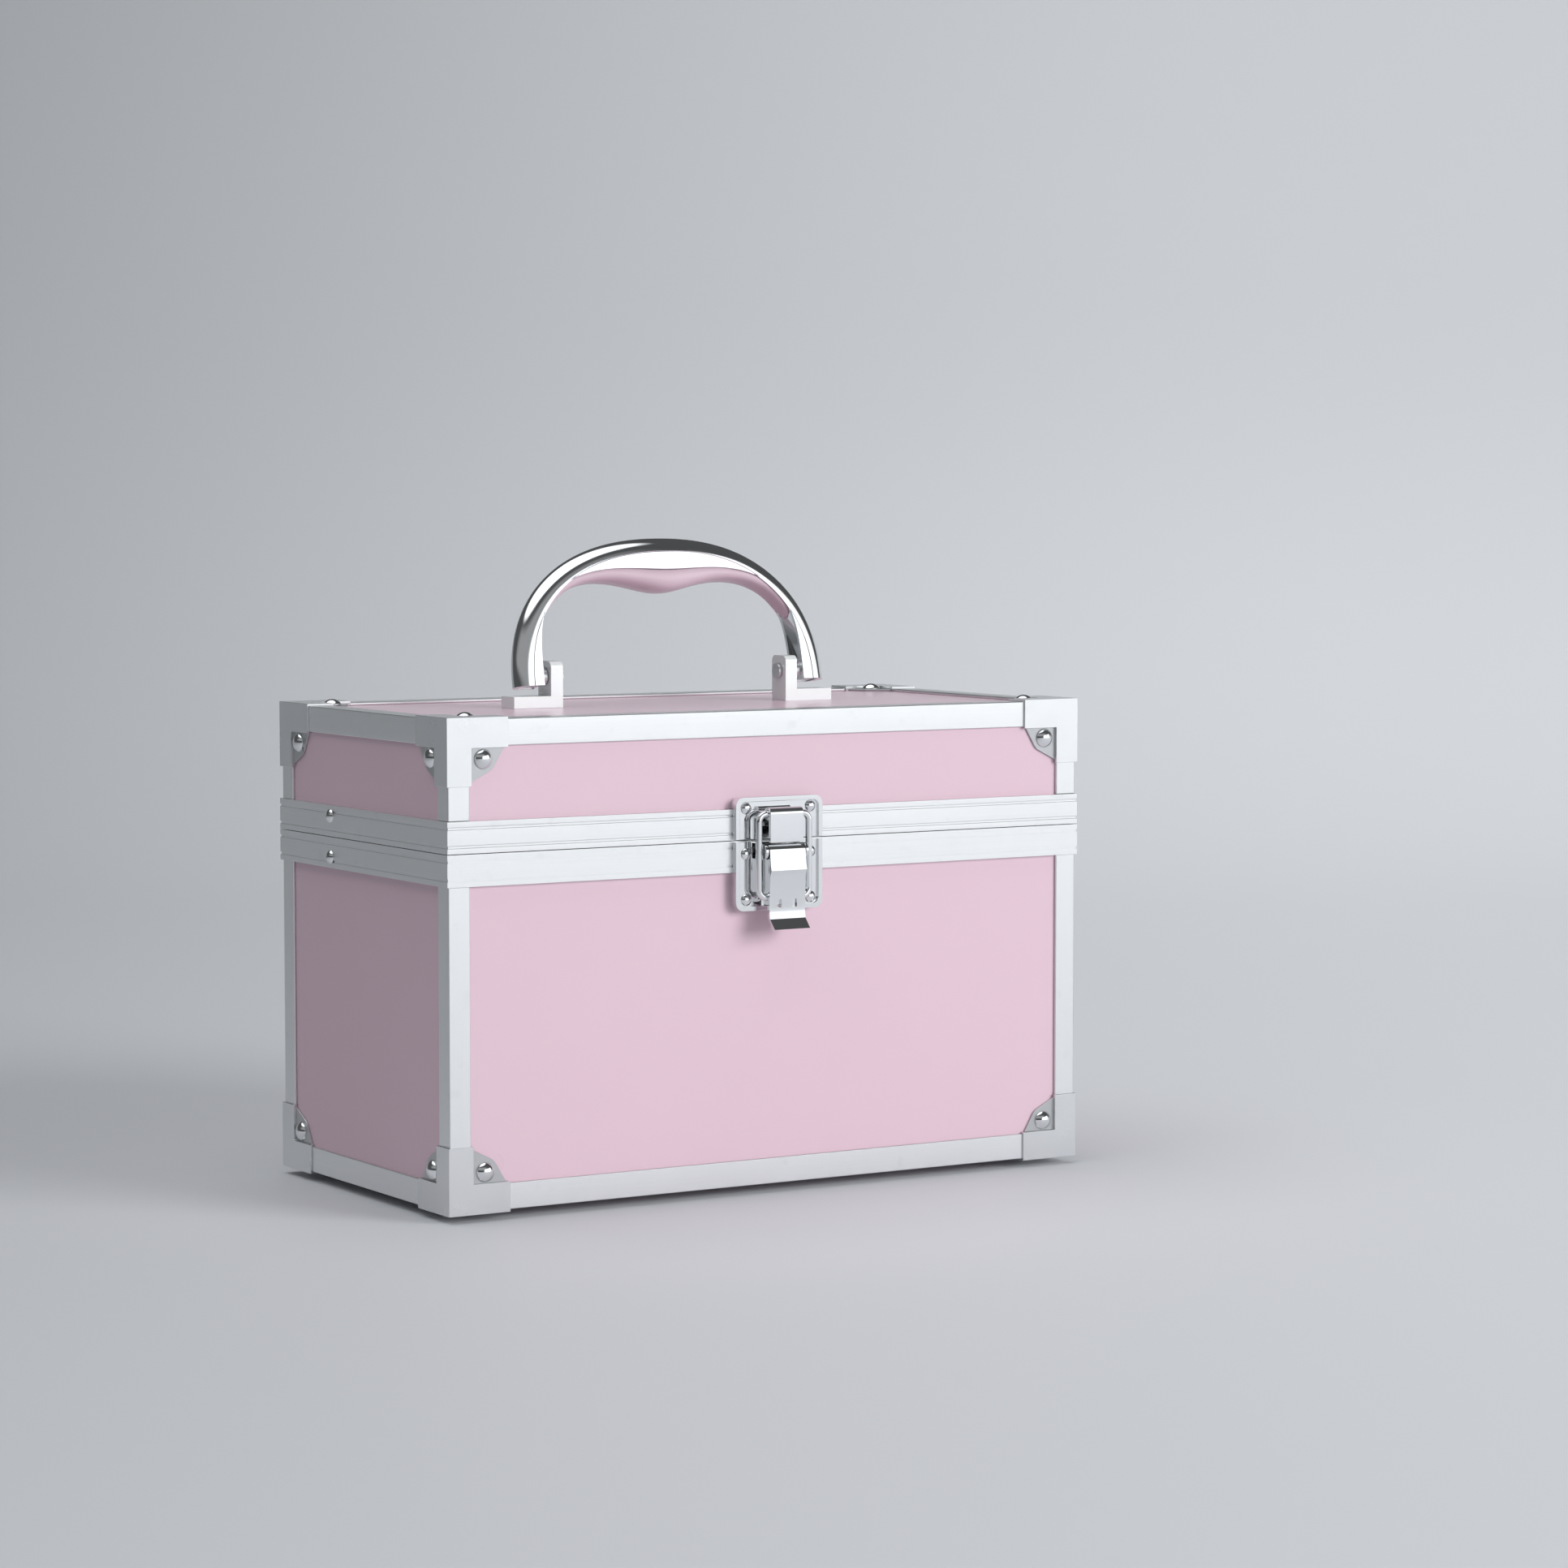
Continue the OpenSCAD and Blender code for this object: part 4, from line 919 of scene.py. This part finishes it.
class MakeHandle(bpy.types.Operator):
    """Makes the handle: its chrome shell, pink grip, lugs and brackets"""

    bl_idname = "case.make_handle"
    bl_label = "Handle"

    def execute(self, context):
        handle = context.scene.case_handle
        self.make_shell(handle)
        self.make_grip(handle)
        dress("handle_lugs", "zinc_steel", EDGES["lug"])
        for node in ("handle_bracket_left", "handle_bracket_right"):
            dress(node, "satin_nickel", EDGES["bracket"], segments=4)
        dress("handle_bracket_rivets", "satin_nickel", EDGES["stud"])
        return {"FINISHED"}

    def put(self, handle, t, reach, y):
        """A point on the handle: t round the arch, reach from its middle, y from its mid-plane."""
        place = Vector((reach * cos(t), y, reach * sin(t) - handle.pivot_up))
        return JOINT_AT["handle_swing"] + Matrix.Rotation(-handle.lean, 3, "X") @ place

    def make_shell(self, handle):
        """A channel round the arch, domed outside and open inside, with a groove beside the dome."""
        steps, dome_steps = 120, 20
        seat, roof_depth = 0.02 * MM, 0.55
        rings = []
        for i in range(steps + 1):
            t = pi * i / steps
            w, out, inner = half_depth(handle, t), outer_reach(handle, t), inner_reach(handle, t)
            edge, dent = out - handle.dome, handle.groove
            side = [(edge - 2 * dent, w), (edge - dent, w - dent)]
            turns = [radians(-90 + 180 * k / dome_steps) for k in range(dome_steps + 1)]
            dome = [(edge + handle.dome * cos(f), (w - seat) * sin(f)) for f in turns]
            left = [(reach, -y) for reach, y in side]
            cheek = w - handle.wall
            roof = out - roof_depth * handle.dome
            mouth = [(inner, w), (inner, cheek), (roof, cheek)]
            mouth += [(reach, -y) for reach, y in mouth[::-1]]
            section = left + dome + side[::-1] + mouth
            rings.append([self.put(handle, t, reach, y) for reach, y in section])
        piece = loft("handle_shell_chrome", rings, "chrome_plate")
        stand_in(settle(ease_edges(piece, EDGES["shell"], segments=3, turn=40)), "handle_shell")

    def make_grip(self, handle):
        """A rounded bar in the shell's mouth, fullest at the crown, with blunt tapered ends."""
        start, steps, around = radians(24), 96, 32
        taper, tip_width = 7, 0.25
        inset, play = 0.5 * MM, 0.05 * MM
        least, root, tip = 0.6 * MM, 1.5 * MM, 0.1 * MM
        rings = []
        for i in range(steps + 1):
            share = i / steps
            t = start + (pi - 2 * start) * share
            end = min(1, sin(pi * share) * taper) ** 0.5 if 0 < share < 1 else 0.0
            x = (half_depth(handle, t) - inset) * (tip_width + (1 - tip_width) * end)
            inner = inner_reach(handle, t)
            cheek = half_depth(handle, t) - handle.wall - play
            deep = least + (handle.grip_out - least) * sqrt(max(0, sin(pi * share)))
            deep += handle.swell * hump(t, SWELL_HALF)
            high, low = inner + root * end + tip, inner - deep * end - tip / 2
            ring = []
            for k in range(around):
                f = 2 * pi * k / around
                across = x * bulge(cos(f), 0.72)
                reach = (high + low) / 2 + (high - low) / 2 * bulge(sin(f), 0.85)
                if reach > inner:
                    across = max(-cheek, min(cheek, across))
                ring.append(self.put(handle, t, reach, across))
            rings.append(ring)
        stand_in(loft("handle_grip_pink", rings, "pink_grip"), "handle_grip")


# The handle's arch: the outlines' squareness, and the widths of the swell and of the dip under the crown
OUTER_SQUARENESS, INNER_SQUARENESS = 2.27, 3.6
SWELL_HALF, DIP_HALF, DIP = radians(46), radians(40), 1.2 * MM


def bulge(share, power):
    """A sine or cosine made fuller, for a section between round and square."""
    return abs(share) ** power * (1 if share > 0 else -1)


def blended_reach(t, across, high, power):
    """Distance from the arch's middle to a rounded outline, in the direction t."""
    return ((abs(cos(t)) / across) ** power + (abs(sin(t)) / high) ** power) ** (-1 / power)


def hump(t, half):
    """1 at the crown, falling smoothly to 0 at half to either side."""
    off = t - pi / 2
    return cos(off * pi / 2 / half) ** 2 if abs(off) < half else 0.0


def outer_reach(handle, t):
    """Distance from the arch's middle to the shell's back."""
    return blended_reach(t, handle.width / 2, handle.height, OUTER_SQUARENESS)


def inner_reach(handle, t):
    """Distance from the arch's middle to the shell's mouth, which dips at the crown."""
    leg, crown = handle.width / 2 - handle.leg_thick, handle.height - handle.crown_thick
    return blended_reach(t, leg, crown, INNER_SQUARENESS) - DIP * hump(t, DIP_HALF)


def half_depth(handle, t):
    """Half the handle's depth, front to back."""
    return (handle.leg_depth + (handle.crown_depth - handle.leg_depth) * sin(t) ** 4) / 2


class CasePanel(bpy.types.Panel):
    """Lists the case's sizes, colours and pieces"""

    bl_idname = "VIEW3D_PT_beauty_case"
    bl_label = "Beauty Case"
    bl_space_type = "VIEW_3D"
    bl_region_type = "UI"
    bl_category = "Beauty Case"

    def draw(self, context):
        for group in GROUPS:
            box = self.layout.box()
            box.label(text=group.__doc__)
            for name in group.__annotations__:
                box.prop(getattr(context.scene, GROUPS[group]), name)
        for operator in OPERATORS:
            self.layout.operator(operator.bl_idname)


GROUPS = {
    CaseLook: "case_look", CaseHandle: "case_handle", CaseLatch: "case_latch", CaseStage: "case_stage"}
OPERATORS = (
    MakeStage, MakePanels, MakeRails, MakeGuards, MakeFeet, MakeInside, MakeHinges, MakeLatch, MakeHandle)


def register():
    for group, name in GROUPS.items():
        bpy.utils.register_class(group)
        setattr(bpy.types.Scene, name, PointerProperty(type=group))
    for item in (*OPERATORS, CasePanel):
        bpy.utils.register_class(item)


def unregister():
    for item in (CasePanel, *OPERATORS[::-1]):
        bpy.utils.unregister_class(item)
    for group, name in GROUPS.items():
        delattr(bpy.types.Scene, name)
        bpy.utils.unregister_class(group)


def main():
    """Makes every piece in turn."""
    register()
    make_finishes(bpy.context.scene.case_look)
    for operator in OPERATORS:
        group, name = operator.bl_idname.split(".")
        getattr(getattr(bpy.ops, group), name)()


if __name__ == "__main__":
    main()
